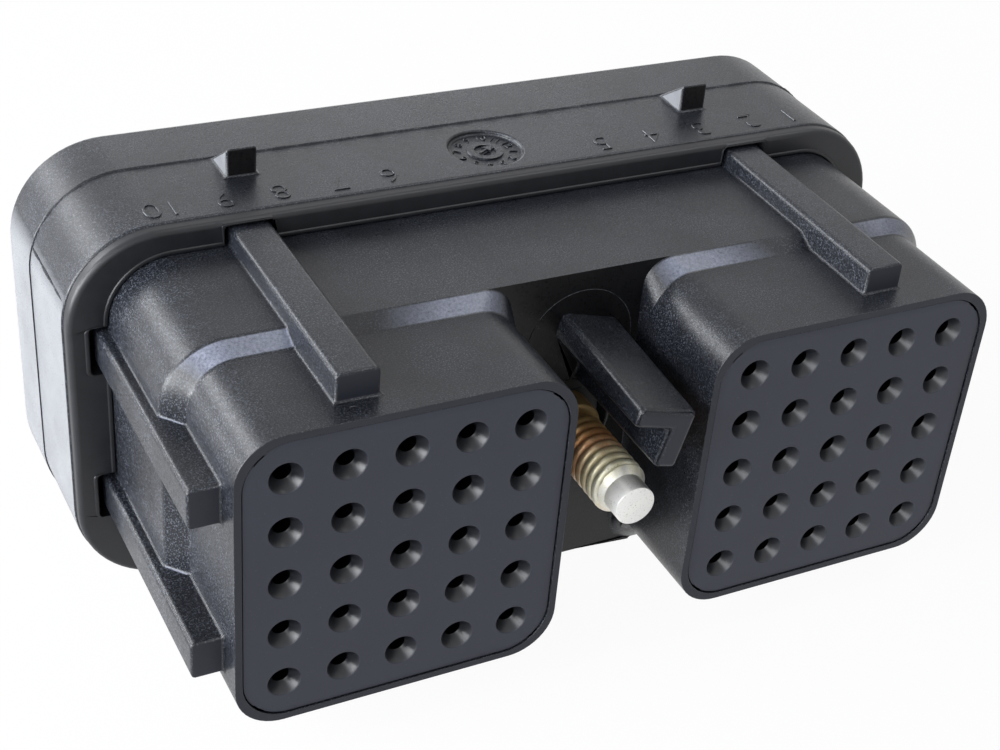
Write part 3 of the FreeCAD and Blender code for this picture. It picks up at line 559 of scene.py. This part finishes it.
def screw_rings():
    """The screw's surface: x = r sin a, z = r cos a, with r a function of place y and angle a.

    On the thread, t = y / pitch - a / (2 pi), less its nearest whole number, is the distance
    from the crest in turns, and r = root + depth * (1 - |2 t| ** 2.6), or the cone in front
    and the run-out behind where they are smaller. In the head, r = half width of the
    hexagon / cos(a mod 60 degrees - 30 degrees).
    """
    angle = np.linspace(0, 2 * np.pi, RING_POINTS, endpoint=False)
    cone_front = THREAD_FRONT - CONE_LENGTH
    tip = np.array([
        (SCREW_TIP, 0),
        (SCREW_TIP, PILOT_RADIUS - TIP_ROUND),
        (SCREW_TIP + MIDDLE_OF_ROUND * TIP_ROUND, PILOT_RADIUS - MIDDLE_OF_ROUND * TIP_ROUND),
        (SCREW_TIP + TIP_ROUND, PILOT_RADIUS),
        (0, PILOT_RADIUS),
    ])
    rows = int((THREAD_REAR - cone_front) / THREAD_PITCH * ROWS_PER_TURN)
    place = np.linspace(cone_front, THREAD_REAR, rows)[:, None]
    turn = place / THREAD_PITCH - angle / (2 * np.pi)
    from_crest = turn - np.round(turn)
    thread = THREAD_ROOT + (THREAD_RADIUS - THREAD_ROOT) * (
        1 - np.abs(2 * from_crest) ** CREST_POWER)
    slope = (THREAD_RADIUS - PILOT_RADIUS) / CONE_LENGTH
    cone = PILOT_RADIUS + (place - cone_front) * slope
    run_out = RELIEF_RADIUS + (THREAD_REAR - place) * slope
    thread = np.minimum(np.minimum(thread, cone), run_out)
    head_front = SCREW_END - HEAD_LENGTH
    shank_front = THREAD_REAR + RELIEF_LENGTH
    rear = np.array([
        (shank_front, RELIEF_RADIUS),
        (shank_front, SHANK_RADIUS - 2 * ROUND),
        (shank_front + 2 * MIDDLE_OF_ROUND * ROUND, SHANK_RADIUS - 2 * MIDDLE_OF_ROUND * ROUND),
        (shank_front + 2 * ROUND, SHANK_RADIUS),
        (GROOVE_FRONT, SHANK_RADIUS),
        (GROOVE_FRONT, GROOVE_RADIUS),
        (GROOVE_REAR, GROOVE_RADIUS),
        (GROOVE_REAR, SHANK_RADIUS),
        (head_front, SHANK_RADIUS),
        (head_front, HEAD_RADIUS - ROUND),
        (head_front + ROUND, HEAD_RADIUS),
        (SCREW_END - HEAD_EDGE, HEAD_RADIUS),
        (SCREW_END, HEAD_RADIUS - HEAD_EDGE),
    ])
    sector = np.radians(60)
    hexagon = HEX_HALF / np.cos(np.mod(angle, sector) - sector / 2)
    places = np.concatenate((
        tip[:, :1], place, rear[:, :1],
        [[SCREW_END], [SCREW_END - HEX_DEPTH], [SCREW_END - HEX_DEPTH]]))
    around = np.ones_like(angle)
    radii = np.concatenate((
        tip[:, 1:] * around, thread, rear[:, 1:] * around,
        [hexagon, hexagon, 0 * hexagon]))
    return np.stack((radii * np.sin(angle), places * around, radii * np.cos(angle)), axis=-1)


stand_for(solid_from_rings("jackscrew_dressed", [screw_rings()], "plated_steel"), "jackscrew")

# %% [markdown]
# The inserts and the wire seal are thick plates with rows of round holes. Each hole owns a
# square cell of the plate. A ring of points starts on the cell's square edge, shrinks to the
# hole's round mouth, goes down the hole, and spreads to the square again at the back. Cells
# side by side share their edge points, so they weld into one plate, and one wide ring joins
# the outermost edges to the plate's rounded outline.

# %% Plates with rows of round holes
CELL_POINTS = 32
PITCH = 4.19 * MM
COUNT = 5
RISE = 0.3 * MM


def with_depth(flat, place):
    """Points [n, 2] across the width and up, set at one place along Y."""
    return np.stack((flat[:, 0], np.full(len(flat), place), flat[:, 1]), axis=-1)


def hole_cell(profile, front, rear):
    """A square cell of the plate with its hole, as rings from the front edge to the rear edge.

    The square's edge at angle a is half the pitch / max(|cos a|, |sin a|) from the centre.
    The profile gives the hole's radius and place along Y, ring by ring.
    """
    angle = np.arange(CELL_POINTS) * 2 * np.pi / CELL_POINTS
    circle = np.stack((np.cos(angle), np.sin(angle)), axis=-1)
    square = circle * PITCH / 2 / np.abs(circle).max(axis=1, keepdims=True)
    rings = [with_depth(square, front)]
    rings += [with_depth(circle * radius, place) for radius, place in profile]
    rings += [with_depth(square, rear)]
    return np.stack(rings)


def cell_edges(centre):
    """Places of all the cells' edge points along one side of an array, from low to high."""
    eighth = np.tan(np.radians(45) * np.arange(-4, 5) / 4) * PITCH / 2
    cells = centre + (np.arange(COUNT) - (COUNT - 1) / 2) * PITCH
    return np.unique(np.round((cells[:, None] + eighth).ravel(), 9))


def pushed_out(places, core, other_core, corner):
    """A straight side's places moved to a rounded outline: along the side, and out from it.

    Past the core the side bends: with b from 0 to 45 degrees, a point is at
    core + corner * sin b along the side and other core + corner * cos b out.
    """
    limit = np.where(places < 0, -places.min(), places.max())
    bend = np.radians(45) * np.clip((np.abs(places) - core) / (limit - core), 0, 1)
    along = np.sign(places) * (np.minimum(np.abs(places), core) + corner * np.sin(bend))
    return along, other_core + corner * np.cos(bend)


def ring_of_sides(low, right, high, left):
    """Four sides, each [n, 2] from low to high, joined into one ring without double corners."""
    return np.concatenate((low[:-1], right[:-1], high[:0:-1], left[:0:-1]))


def rectangle_ring(across, up):
    """The edge points of a rectangle whose sides have the given places."""
    low = np.stack((across, np.full(len(across), up.min())), axis=-1)
    high = np.stack((across, np.full(len(across), up.max())), axis=-1)
    left = np.stack((np.full(len(up), across.min()), up), axis=-1)
    right = np.stack((np.full(len(up), across.max()), up), axis=-1)
    return ring_of_sides(low, right, high, left)


def outline_ring(across, up, half_width, half_height, corner):
    """The same points pushed out to a rectangle with round corners round the origin."""
    core_x = half_width - corner
    core_z = half_height - corner
    along_x, out_z = pushed_out(across, core_x, core_z, corner)
    along_z, out_x = pushed_out(up, core_z, core_x, corner)
    low = np.stack((along_x, -out_z), axis=-1)
    high = np.stack((along_x, out_z), axis=-1)
    left = np.stack((-out_x, along_z), axis=-1)
    right = np.stack((out_x, along_z), axis=-1)
    return ring_of_sides(low, right, high, left)


def margin(across, up, half_width, half_height, corner, edge, front, rear):
    """The plate outside its cells: front face, rounded edge, side wall and rear face."""
    inner = rectangle_ring(across, up)
    rings = [with_depth(inner, front)]
    for inset, place in (
        (edge, front), (MIDDLE_OF_ROUND * edge, front + MIDDLE_OF_ROUND * edge), (0, front + edge),
        (0, rear - edge), (MIDDLE_OF_ROUND * edge, rear - MIDDLE_OF_ROUND * edge), (edge, rear),
    ):
        outline = outline_ring(across, up, half_width - inset, half_height - inset, corner - inset)
        rings.append(with_depth(outline, place))
    rings.append(with_depth(inner, rear))
    return np.stack(rings)


def cell_centres(x, z):
    """The 25 centres of an array round x, z, as points with no depth."""
    steps = (np.arange(COUNT) - (COUNT - 1) / 2) * PITCH
    grid = np.stack(np.meshgrid(steps, [0], steps, indexing="ij"), axis=-1).reshape(-1, 3)
    return grid + np.array((x, 0, z))


# %% [markdown]
# Each face insert closes the front of a block. Its holes lead a header's pin in with a
# polished cone, then a narrow bore, then the wider seat of the contact. The pin that shaped
# the cone was turned, and the marks of its cutter show as faint steps.

# %% Face inserts
MOUTH_RADIUS = 1.20 * MM
PIN_RADIUS = 0.625 * MM
SOCKET_RADIUS = 1.0 * MM
LEAD_IN = 0.85 * MM
PIN_END = 2.2 * MM
SHOULDER = 0.4 * MM
MOUTH_EDGE = 0.035 * MM
INSERT_CORNER = 3.24 * MM
INSERT_EDGE = 0.09 * MM
TOOL_MARKS = 5
TOOL_MARK_DEPTH = 0.010 * MM


def lead_in_profile(front):
    """The turned cone as five shallow steps, like the marks that its cutter left on the pin."""
    part = np.arange(2 * TOOL_MARKS + 1) / (2 * TOOL_MARKS)
    radius = MOUTH_RADIUS - MOUTH_EDGE + (PIN_RADIUS - MOUTH_RADIUS + MOUTH_EDGE) * part
    wave = TOOL_MARK_DEPTH * (np.arange(len(part)) % 2)
    place = front + MOUTH_EDGE + (LEAD_IN - MOUTH_EDGE) * part
    return list(zip(radius + wave, place))


for node_name in ("left_face_insert", "right_face_insert"):
    low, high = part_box(node_name)
    centre_x = (low.x + high.x) / 2
    front = low.y
    rear = high.y
    profile = [(MOUTH_RADIUS, front)]
    profile += lead_in_profile(front)
    profile += [
        (PIN_RADIUS, front + PIN_END),
        (SOCKET_RADIUS, front + PIN_END + SHOULDER),
        (SOCKET_RADIUS, rear),
    ]
    cell = hole_cell(profile, front, rear)
    sides = cell_edges(0.0)
    frame_ring = margin(sides, sides, (high.x - low.x) / 2, (high.z - low.z) / 2,
                        INSERT_CORNER, INSERT_EDGE, front, rear)
    place = np.array((centre_x, 0, RISE))
    grids = [cell + centre for centre in cell_centres(centre_x, RISE)]
    grids.append(frame_ring + place)
    piece = solid_from_rings(node_name + "_dressed", grids, "insert_plastic")
    stand_for(piece, node_name)

# %% [markdown]
# The wire seal is a thick block of soft silicone with 50 holes, each with inner lips that
# close on a wire. It is the same kind of plate: two arrays of cells, one wide cell between
# them whose hole goes round the screw's boss, and the margin outside.

# %% Wire seal
WIRE_RADIUS = 0.85 * MM
LIP_RADIUS = 0.62 * MM
FUNNEL_RADIUS = 1.30 * MM
FUNNEL_DEPTH = 0.45 * MM
BOSS_HOLE = 5.36 * MM
SEAL_CORNER = 5.04 * MM
SEAL_EDGE = 0.30 * MM
MIDDLE_POINTS = 17
LIP_ROWS = 13
ROWS_PER_LIP = 4
LIPS_FROM_FRONT = 1.0 * MM
LIPS_FROM_REAR = 1.2 * MM
BLOCK_CENTRE = (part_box("right_face_insert")[0].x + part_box("right_face_insert")[1].x) / 2

seal_low, seal_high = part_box("wire_seal")
lip_places = np.linspace(seal_low.y + LIPS_FROM_FRONT, seal_high.y - LIPS_FROM_REAR, LIP_ROWS)
on_lip = np.arange(LIP_ROWS) % ROWS_PER_LIP == ROWS_PER_LIP // 2
lip_radii = np.where(on_lip, LIP_RADIUS, WIRE_RADIUS)
wire_profile = [(FUNNEL_RADIUS, seal_low.y), (WIRE_RADIUS, seal_low.y + FUNNEL_DEPTH)]
wire_profile += list(zip(lip_radii, lip_places))
wire_profile += [(WIRE_RADIUS, seal_high.y - FUNNEL_DEPTH), (FUNNEL_RADIUS, seal_high.y)]
wire_cell = hole_cell(wire_profile, seal_low.y, seal_high.y)
up_places = cell_edges(RISE)
right_places = cell_edges(BLOCK_CENTRE)
middle_places = np.linspace(-right_places.min(), right_places.min(), MIDDLE_POINTS)
all_places = np.unique(np.round(np.concatenate((-right_places, middle_places, right_places)), 9))
middle_edge = rectangle_ring(middle_places, up_places)
boss_circle = middle_edge / np.linalg.norm(middle_edge, axis=1, keepdims=True) * BOSS_HOLE
middle_cell = np.stack((
    with_depth(middle_edge, seal_low.y),
    with_depth(boss_circle, seal_low.y),
    with_depth(boss_circle, seal_high.y),
    with_depth(middle_edge, seal_high.y),
))
wire_grids = [wire_cell + centre for x in (-BLOCK_CENTRE, BLOCK_CENTRE)
              for centre in cell_centres(x, RISE)]
wire_grids.append(middle_cell)
wire_grids.append(margin(all_places, up_places, seal_high.x, seal_high.z, SEAL_CORNER, SEAL_EDGE,
                         seal_low.y, seal_high.y))
stand_for(solid_from_rings("wire_seal_dressed", wire_grids, "seal_rubber"), "wire_seal")

# %% [markdown]
# The ring in front of the shell is pressed silicone. Its outer edge is round, its face lies
# a little lower, and a thin lip runs along the plug's body and round the root of each
# keying rib, with a gap there. Its section is carried round the plug between two outlines:
# the outer one, and the inner one with a bulge for each rib.

# %% Interface seal
OUTER_HALF = (33.08 * MM, 14.63 * MM)
OUTER_CORNER = 6.88 * MM
INNER_HALF = (30.25 * MM, 12.80 * MM)
INNER_CORNER = 4.65 * MM
RIB_HALF = 1.525 * MM
TOP_RIBS = (-20.05 * MM, 20.05 * MM)
SIDE_RIBS = (-6.2 * MM, 6.2 * MM)
RIB_GAP = 0.38 * MM
TOP_BULGE = 1.52 * MM
SIDE_BULGE = 1.35 * MM
BULGE_CORNER = 0.35 * MM
FLANGE_FRONT = 22.2 * MM
SEAL_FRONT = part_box("interface_seal")[0].y
TONGUE_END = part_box("interface_seal")[1].y
TONGUE_WIDTH = 0.25 * MM
FACE_DROP = 0.10 * MM
OUTER_ROUND = 0.42 * MM
MOST_ACROSS = 0.45
# In millimetres: distance outside the inner outline, and depth behind the seal's front
LIP_SECTION = ((0.34, 0.10), (0.28, 0.02), (0.20, 0.0), (0.08, 0.01), (0.0, 0.08))
SIDE_POINTS = 60
CORNER_POINTS = 14
BULGE_FOOT = 0.02 * MM
BULGE_SPACE = 0.1 * MM


def inner_side(ribs, core, bulge):
    """A side's places and how far the inner outline bulges there, round each rib."""
    places = [np.linspace(-core, core, SIDE_POINTS)]
    levels = [np.zeros(SIDE_POINTS)]
    half = RIB_HALF + RIB_GAP
    foot = half + BULGE_FOOT
    turn = np.radians(np.linspace(0, 90, 5))
    rise_x = -half + BULGE_CORNER * (1 - np.cos(turn))
    rise_z = bulge - BULGE_CORNER * (1 - np.sin(turn))
    for rib in ribs:
        places.append(rib + np.concatenate(([-foot], rise_x, -rise_x[::-1], [foot])))
        levels.append(np.concatenate(([0], rise_z, rise_z[::-1], [0])))
        near = np.abs(places[0] - rib) < half + BULGE_SPACE
        places[0] = places[0][~near]
        levels[0] = levels[0][~near]
    places = np.concatenate(places)
    levels = np.concatenate(levels)
    order = np.argsort(places, kind="stable")
    return places[order], levels[order]


def seal_outlines():
    """The inner outline and, point for point, the outer one, each [n, 2]."""
    core_in = np.array(INNER_HALF) - INNER_CORNER
    core_out = np.array(OUTER_HALF) - OUTER_CORNER
    top_places, top_levels = inner_side(TOP_RIBS, core_in[0], TOP_BULGE)
    side_places, side_levels = inner_side(SIDE_RIBS, core_in[1], SIDE_BULGE)
    low_places = np.linspace(-core_in[0], core_in[0], SIDE_POINTS)
    inner = []
    outer = []
    quarters = (
        (0, side_places, side_levels, 0, 1),
        (90, -top_places[::-1], top_levels[::-1], 1, 0),
        (180, -side_places[::-1], side_levels[::-1], 0, 1),
        (270, low_places, np.zeros(SIDE_POINTS), 1, 0),
    )
    for start, places, levels, out_axis, along_axis in quarters:
        angle = np.radians(start)
        out = np.array((np.cos(angle), np.sin(angle)))
        along = np.array((-np.sin(angle), np.cos(angle)))
        side_in = out * (core_in[out_axis] + INNER_CORNER + levels[:, None]) + along * places[:, None]
        stretch = core_out[along_axis] / core_in[along_axis]
        side_out = out * (core_out[out_axis] + OUTER_CORNER) + along * places[:, None] * stretch
        turn = angle + np.radians(np.linspace(0, 90, CORNER_POINTS + 2)[1:-1])
        circle = np.stack((np.cos(turn), np.sin(turn)), axis=-1)
        here = np.sign(out + along)
        inner += [side_in, here * core_in + circle * INNER_CORNER]
        outer += [side_out, here * core_out + circle * OUTER_CORNER]
    return np.concatenate(inner), np.concatenate(outer)


def seal_rings():
    """The seal's section carried round: a point is at a distance from one of the outlines."""
    inner, outer = seal_outlines()
    across = inner - outer
    width = np.linalg.norm(across, axis=1, keepdims=True)
    toward = across / width
    turn = np.radians(np.linspace(0, 90, 7))
    round_in = OUTER_ROUND * (1 - np.cos(turn))
    round_back = SEAL_FRONT + FACE_DROP + OUTER_ROUND * (1 - np.sin(turn))
    section = [(outer, 0, FLANGE_FRONT)]
    section += [(outer, distance, place) for distance, place in zip(round_in, round_back)]
    section += [(inner, -distance * MM, SEAL_FRONT + drop * MM) for distance, drop in LIP_SECTION]
    section += [
        (inner, 0, TONGUE_END),
        (inner, -TONGUE_WIDTH, TONGUE_END),
        (inner, -TONGUE_WIDTH, FLANGE_FRONT),
        (outer, 0, FLANGE_FRONT),
    ]
    rings = []
    # Near a rib the seal is narrow, so no point goes further than its share of the width
    for line, distance, place in section:
        limit = np.minimum(np.abs(distance), MOST_ACROSS * width) * np.sign(distance)
        rings.append(with_depth(line + toward * limit, place))
    return np.stack(rings)


stand_for(solid_from_rings("interface_seal_dressed", [seal_rings()], "seal_rubber"),
          "interface_seal")

# %% [markdown]
# The ten numerals on the shell number its columns of contacts. They were cut into the steel
# of the mould, so they stand out a few hundredths of a millimetre, and they read the right
# way up from behind. Text is made a mesh first, and its points are then turned and placed.

# %% Raised numerals
SHELL_TOP = 14.75 * MM
NUMERAL_SIZE = 3.0 * MM
NUMERAL_RISE = 0.07 * MM
NUMERAL_Y = 24.1 * MM
NUMERALS = (("1", 26.0), ("2", 22.3), ("3", 17.7), ("4", 13.4), ("5", 8.9),
            ("6", -8.6), ("7", -12.6), ("8", -16.9), ("9", -21.0), ("10", -25.4))
STROKE_TRIM = -0.022
TEXT_STEPS = 3


def text_shape(words, size, rise):
    """The points [n, 3] and faces of raised text that lies on z = 0, centred on the origin."""
    curve = bpy.data.curves.new("words", "FONT")
    curve.body = words
    curve.size = size
    curve.extrude = rise
    curve.offset = STROKE_TRIM * size
    curve.resolution_u = TEXT_STEPS
    curve.align_x = "CENTER"
    curve.align_y = "CENTER"
    holder = bpy.data.objects.new("words", curve)
    mesh = bpy.data.meshes.new_from_object(holder)
    points = np.empty(3 * len(mesh.vertices))
    mesh.vertices.foreach_get("co", points)
    faces = [list(face.vertices) for face in mesh.polygons]
    bpy.data.objects.remove(holder)
    bpy.data.meshes.remove(mesh)
    return points.reshape(-1, 3), faces


def raised_text(name, marks, rise):
    """One closed mesh of raised text; each mark is its words, size, place and turn in degrees."""
    corners = []
    faces = []
    count = 0
    for words, size, place, turn in marks:
        points, polygons = text_shape(words, size, rise)
        rotation = np.array(Matrix.Rotation(math.radians(-turn), 3, "Z"))
        corners.append(points @ rotation + np.array(place))
        faces += [[count + k for k in polygon] for polygon in polygons]
        count += len(points)
    mesh = bpy.data.meshes.new(name)
    mesh.from_pydata(np.concatenate(corners).tolist(), [], faces)
    welded(mesh, with_slivers=True)
    return shown(name, mesh, SLOTS["housing"])


def on_housing(piece):
    """Lets a small mark ride with the plug, in the housing's finish."""
    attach(piece, BODY["housing"])


numeral_marks = [(words, NUMERAL_SIZE, (x * MM, NUMERAL_Y, SHELL_TOP), 180) for words, x in NUMERALS]
on_housing(raised_text("shell_numerals", numeral_marks, NUMERAL_RISE))

# %% [markdown]
# The date wheel is a steel stamp in the mould, which leaves a round recess with a ring of
# numbers. Its middle can be turned between runs, and its arrow points at a number.

# %% Date wheel
WHEEL_CENTRE = np.array((0.0, 25.95 * MM))
WHEEL_FLOOR = 14.40 * MM
WHEEL_NUMBERS = 12
NUMBER_RADIUS = 2.12 * MM
NUMBER_SIZE = 0.95 * MM
NUMBER_RISE = 0.09 * MM
TOP_NUMBER = 9.5
DISC_INNER = 0.85 * MM
DISC_OUTER = 1.38 * MM
DISC_RISE = 0.14 * MM
BAR_HALF = 0.24 * MM
BAR_REACH = 0.9 * MM
BAR_DROP = 0.01 * MM
# The arrow's outline in millimetres, pointing up
ARROW = ((-0.08, -0.75), (0.08, -0.75), (0.08, 0.10), (0.42, 0.10), (0.0, 0.85), (-0.42, 0.10),
         (-0.08, 0.10))
ARROW_RISE = 0.09 * MM
ARROW_TURN = math.radians(-58)
MARK_EDGE = 0.03 * MM
SUNK = 0.02 * MM


def flat_prism(outline, low, high):
    """A prism over an outline [n, 2] that the origin sees whole, with a narrow edge on top."""
    inner = outline * (1 - MARK_EDGE / np.abs(outline).max())
    rows = ((0 * outline, low), (outline, low), (outline, high - MARK_EDGE), (inner, high),
            (0 * outline, high))
    return np.stack([np.column_stack((flat, np.full(len(flat), level))) for flat, level in rows])


def ridge_round(radii, levels, points=72):
    """A ring about the Z axis whose section has the given radii and levels and closes."""
    angle = np.linspace(0, 2 * np.pi, points, endpoint=False)
    radii = np.array(radii + radii[:1])[:, None]
    levels = np.array(levels + levels[:1])[:, None] + 0 * angle
    return np.stack((radii * np.cos(angle), radii * np.sin(angle), levels), axis=-1)


turned = np.array(((math.cos(ARROW_TURN), math.sin(ARROW_TURN)),
                   (-math.sin(ARROW_TURN), math.cos(ARROW_TURN))))
bar = np.array(((-BAR_HALF, -BAR_REACH), (BAR_HALF, -BAR_REACH), (BAR_HALF, 0),
                (BAR_HALF, BAR_REACH), (-BAR_HALF, BAR_REACH), (-BAR_HALF, 0)))
low = WHEEL_FLOOR - SUNK
high = WHEEL_FLOOR + DISC_RISE
wheel_grids = [
    ridge_round([DISC_INNER, DISC_INNER, DISC_OUTER - MARK_EDGE, DISC_OUTER],
                [low, high, high, low]),
    flat_prism(bar @ turned, low, high - BAR_DROP),
    flat_prism(np.array(ARROW) * MM @ turned, low, high + ARROW_RISE),
]
to_wheel = np.append(WHEEL_CENTRE, 0)
on_housing(solid_from_rings("date_wheel_disc", [grid + to_wheel for grid in wheel_grids],
                            "housing_plastic"))
wheel_marks = []
for number in range(1, WHEEL_NUMBERS + 1):
    angle = 90 - (number - TOP_NUMBER) * 360 / WHEEL_NUMBERS
    out = np.array((math.cos(math.radians(angle)), math.sin(math.radians(angle))))
    place = np.append(WHEEL_CENTRE + NUMBER_RADIUS * out, WHEEL_FLOOR)
    wheel_marks.append((str(number), NUMBER_SIZE, place, angle - 90))
on_housing(raised_text("date_wheel_numbers", wheel_marks, NUMBER_RISE))

# %% [markdown]
# Where two slides of the mould met, a little resin crept into the joint and left a ragged
# ridge. It runs forward along each end wall, then up and over the shell. A small section is
# carried along that line, and a sum of sines with seeded phases makes its height uneven.

# %% Flash along the parting line
SEAM_Y = 30.3 * MM
SEAM_FRONT = 22.4 * MM
SEAM_CORNER = (26.2 * MM, 7.75 * MM)
SEAM_RADIUS = 7.0 * MM
SEAM_LOW = 9.7 * MM
FLASH_HALF_WIDTH = 0.14 * MM
FLASH_HEIGHT = 0.15 * MM
FLASH_WAVES = 14
FLASH_SEED = 7
# The shortest and the longest wave in millimetres, then the section as shares of its half
# width and its rise
FLASH_LENGTHS = (0.5, 7.0)
FLASH_SECTION = ((-1.0, -0.2), (-0.55, 0.55), (-0.1, 1.0), (0.35, 0.8), (1.0, -0.2), (0.0, -0.5))
MEAN_RISE = 0.75
RISE_SWING = 0.28
LEAST_RISE = 0.15
MEAN_WIDTH = 0.8
TAPER = 1.5 * MM
SIDE_STEPS = 60
ARC_STEPS = 50
TOP_STEPS = 160


def seam_path():
    """The path over the shell [n, 3] and the outward direction [n, 3] at each point."""
    start = math.asin((SEAM_LOW - SEAM_CORNER[1]) / SEAM_RADIUS)
    forward_part = np.linspace(SEAM_FRONT, SEAM_Y, SIDE_STEPS)
    arc = np.linspace(start, math.pi / 2, ARC_STEPS)[1:]
    top = np.linspace(SEAM_CORNER[0], 0, TOP_STEPS)[1:]
    angle = np.concatenate((np.full(SIDE_STEPS, start), arc, np.full(len(top), math.pi / 2)))
    y = np.concatenate((forward_part, np.full(len(arc) + len(top), SEAM_Y)))
    core = np.concatenate((np.full(SIDE_STEPS + len(arc), SEAM_CORNER[0]), top))
    out = np.stack((np.cos(angle), np.zeros(len(angle)), np.sin(angle)), axis=-1)
    centre = np.stack((core, y, np.full(len(angle), SEAM_CORNER[1])), axis=-1)
    path = centre + SEAM_RADIUS * out
    mirror = np.array((-1, 1, 1))
    return np.concatenate((path, path[-2::-1] * mirror)), np.concatenate((out, out[-2::-1] * mirror))


def flash_ridge():
    """A ridge along the path: its height is a mean plus a sum of sines of the distance run."""
    path, out = seam_path()
    step = np.linalg.norm(np.diff(path, axis=0), axis=1)
    run = np.concatenate(([0], np.cumsum(step)))
    chance = np.random.default_rng(FLASH_SEED)
    lengths = chance.uniform(*FLASH_LENGTHS, FLASH_WAVES) * MM
    phases = chance.uniform(0, 2 * np.pi, FLASH_WAVES)
    wave = np.sin(2 * np.pi * run[:, None] / lengths + phases).sum(axis=1) / math.sqrt(FLASH_WAVES)
    ends = np.clip(np.minimum(run, run[-1] - run) / TAPER, 0, 1)
    rise = FLASH_HEIGHT * np.clip(MEAN_RISE + RISE_SWING * wave, LEAST_RISE, 1.0) * ends
    half = FLASH_HALF_WIDTH * (MEAN_WIDTH + (1 - MEAN_WIDTH) * wave.clip(-1, 1)) * ends
    along = np.gradient(path, axis=0)
    along /= np.linalg.norm(along, axis=1, keepdims=True)
    side = np.cross(out, along)
    rings = [path + side * (half * aside)[:, None] + out * (rise * high)[:, None]
             for aside, high in FLASH_SECTION]
    return np.stack(rings, axis=1)


on_housing(solid_from_rings("seam_flash", [flash_ridge()], "housing_plastic"))

# %% [markdown]
# An ejector pin pushed the moulding out and left a faint ring on the wall between the
# blocks. It is a low ridge round the screw's axis, turned so that it faces the front.

# %% Ejector mark
MARK_CENTRE = np.array((0.5, 10.3, 7.0)) * MM
MARK_RADIUS = 4.2 * MM
MARK_HALF_WIDTH = 0.07 * MM
MARK_SUNK = 0.02 * MM
MARK_RISE = 0.025 * MM

ring = ridge_round([MARK_RADIUS - MARK_HALF_WIDTH, MARK_RADIUS, MARK_RADIUS + MARK_HALF_WIDTH],
                   [MARK_SUNK, -MARK_RISE, MARK_SUNK], points=96)
on_housing(solid_from_rings("ejector_mark", [ring[..., (0, 2, 1)] + MARK_CENTRE],
                            "housing_plastic"))

# %% [markdown]
# The table is a white sheet that meets the background without an edge. To the camera and
# in reflections it is nearly plain white; to the rest of the light it is matte, and it keeps
# the soft shadow under the plug.

# %% Table
TABLE_HALF = 2.0
WHITE_SHARE = 0.95
PAPER_FIBRE = 1 / 900
PAPER_COLOUR = "#F4F4F4"
FLOOR_TOP = CAD_BOUNDS[0][2]


def plain_sight(tree):
    """1 for rays from the camera, off a gloss or through a clear material, else 0."""
    path = add(tree, "LightPath", {})
    seen = path.outputs["Is Camera Ray"]
    for kind in ("Is Glossy Ray", "Is Transmission Ray"):
        either = add(tree, "Math", {"operation": "MAXIMUM", 0: seen, 1: path.outputs[kind]})
        seen = either.outputs[0]
    return seen


corners = [(x * TABLE_HALF, y * TABLE_HALF, FLOOR_TOP)
           for x, y in ((-1, -1), (1, -1), (1, 1), (-1, 1))]
floor_mesh = bpy.data.meshes.new("table")
floor_mesh.from_pydata(corners, [], [(0, 1, 2, 3)])
floor = bpy.data.objects.new("table", floor_mesh)
bpy.context.scene.collection.objects.link(floor)
paper, tree, _, (fibre,) = new_material("white_table_paper", (PAPER_FIBRE, 2.0, 0.5))
bump = add(tree, "Bump", {"Height": fibre, "Strength": 0.05, "Distance": 0.1 * MM})
matte = add(tree, "BsdfDiffuse", {"Color": PAPER_COLOUR, "Normal": bump.outputs["Normal"]})
white = add(tree, "Emission", {"Color": "#FFFFFF", "Strength": 1.0})
share = add(tree, "Math", {"operation": "MULTIPLY", 0: plain_sight(tree), 1: WHITE_SHARE})
both = add(tree, "MixShader", {0: share.outputs[0], 1: matte.outputs[0], 2: white.outputs[0]})
add(tree, "OutputMaterial", {"Surface": both.outputs[0]})
floor_mesh.materials.append(paper)
print("table at", round(FLOOR_TOP, 5))

# %% [markdown]
# The room is plain white where it is seen or mirrored, and gives no other light. The first
# input of its mix stays empty for that.

# %% Room
world = bpy.data.worlds.new("room")
bpy.context.scene.world = world
world.use_nodes = True
room = world.node_tree
room.nodes.clear()
seen = add(room, "Background", {"Color": "#FFFFFF", "Strength": 1.0})
either = add(room, "MixShader", {0: plain_sight(room), 2: seen.outputs[0]})
add(room, "OutputWorld", {"Surface": either.outputs[0]})
bpy.context.scene.view_settings.view_transform = "Standard"
print("room seen as", seen.inputs["Strength"].default_value)

# %% [markdown]
# The light comes from the left: three large lamps stand there, and three weak ones in front,
# behind and above. Their powers were matched to the tones of the real picture.

# %% Lamps
LAMP_COLOUR = (0.95, 0.97, 1.0)
LAMP_AIM = Vector((0, 0.01, 0))
LAMPS = (
    ("left", (-0.50, 0.00, 0.15), 0.35, 0.35, 4.8),
    ("left_low", (-0.60, 0.25, 0.03), 0.50, 0.10, 3.2),
    ("left_back", (-0.45, 0.55, 0.32), 0.30, 0.25, 2.4),
    ("front_left", (-0.35, -0.35, 0.25), 0.35, 0.35, 1.3),
    ("back_low", (0.05, 0.60, 0.12), 0.60, 0.15, 0.6),
    ("top_right", (0.28, 0.00, 0.60), 0.20, 0.20, 0.8),
)
for name, place, width, height, power in LAMPS:
    lamp_data = bpy.data.lights.new(name, "AREA")
    lamp_data.shape = "RECTANGLE"
    lamp_data.size = width
    lamp_data.size_y = height
    lamp_data.energy = power
    lamp_data.color = LAMP_COLOUR
    lamp = bpy.data.objects.new(name, lamp_data)
    facing = (LAMP_AIM - Vector(place)).to_track_quat("-Z", "Y").to_matrix().to_4x4()
    lamp.matrix_world = Matrix.Translation(place) @ facing
    lamp.visible_camera = False
    bpy.context.scene.collection.objects.link(lamp)
    print("lamp", name, power, "W")
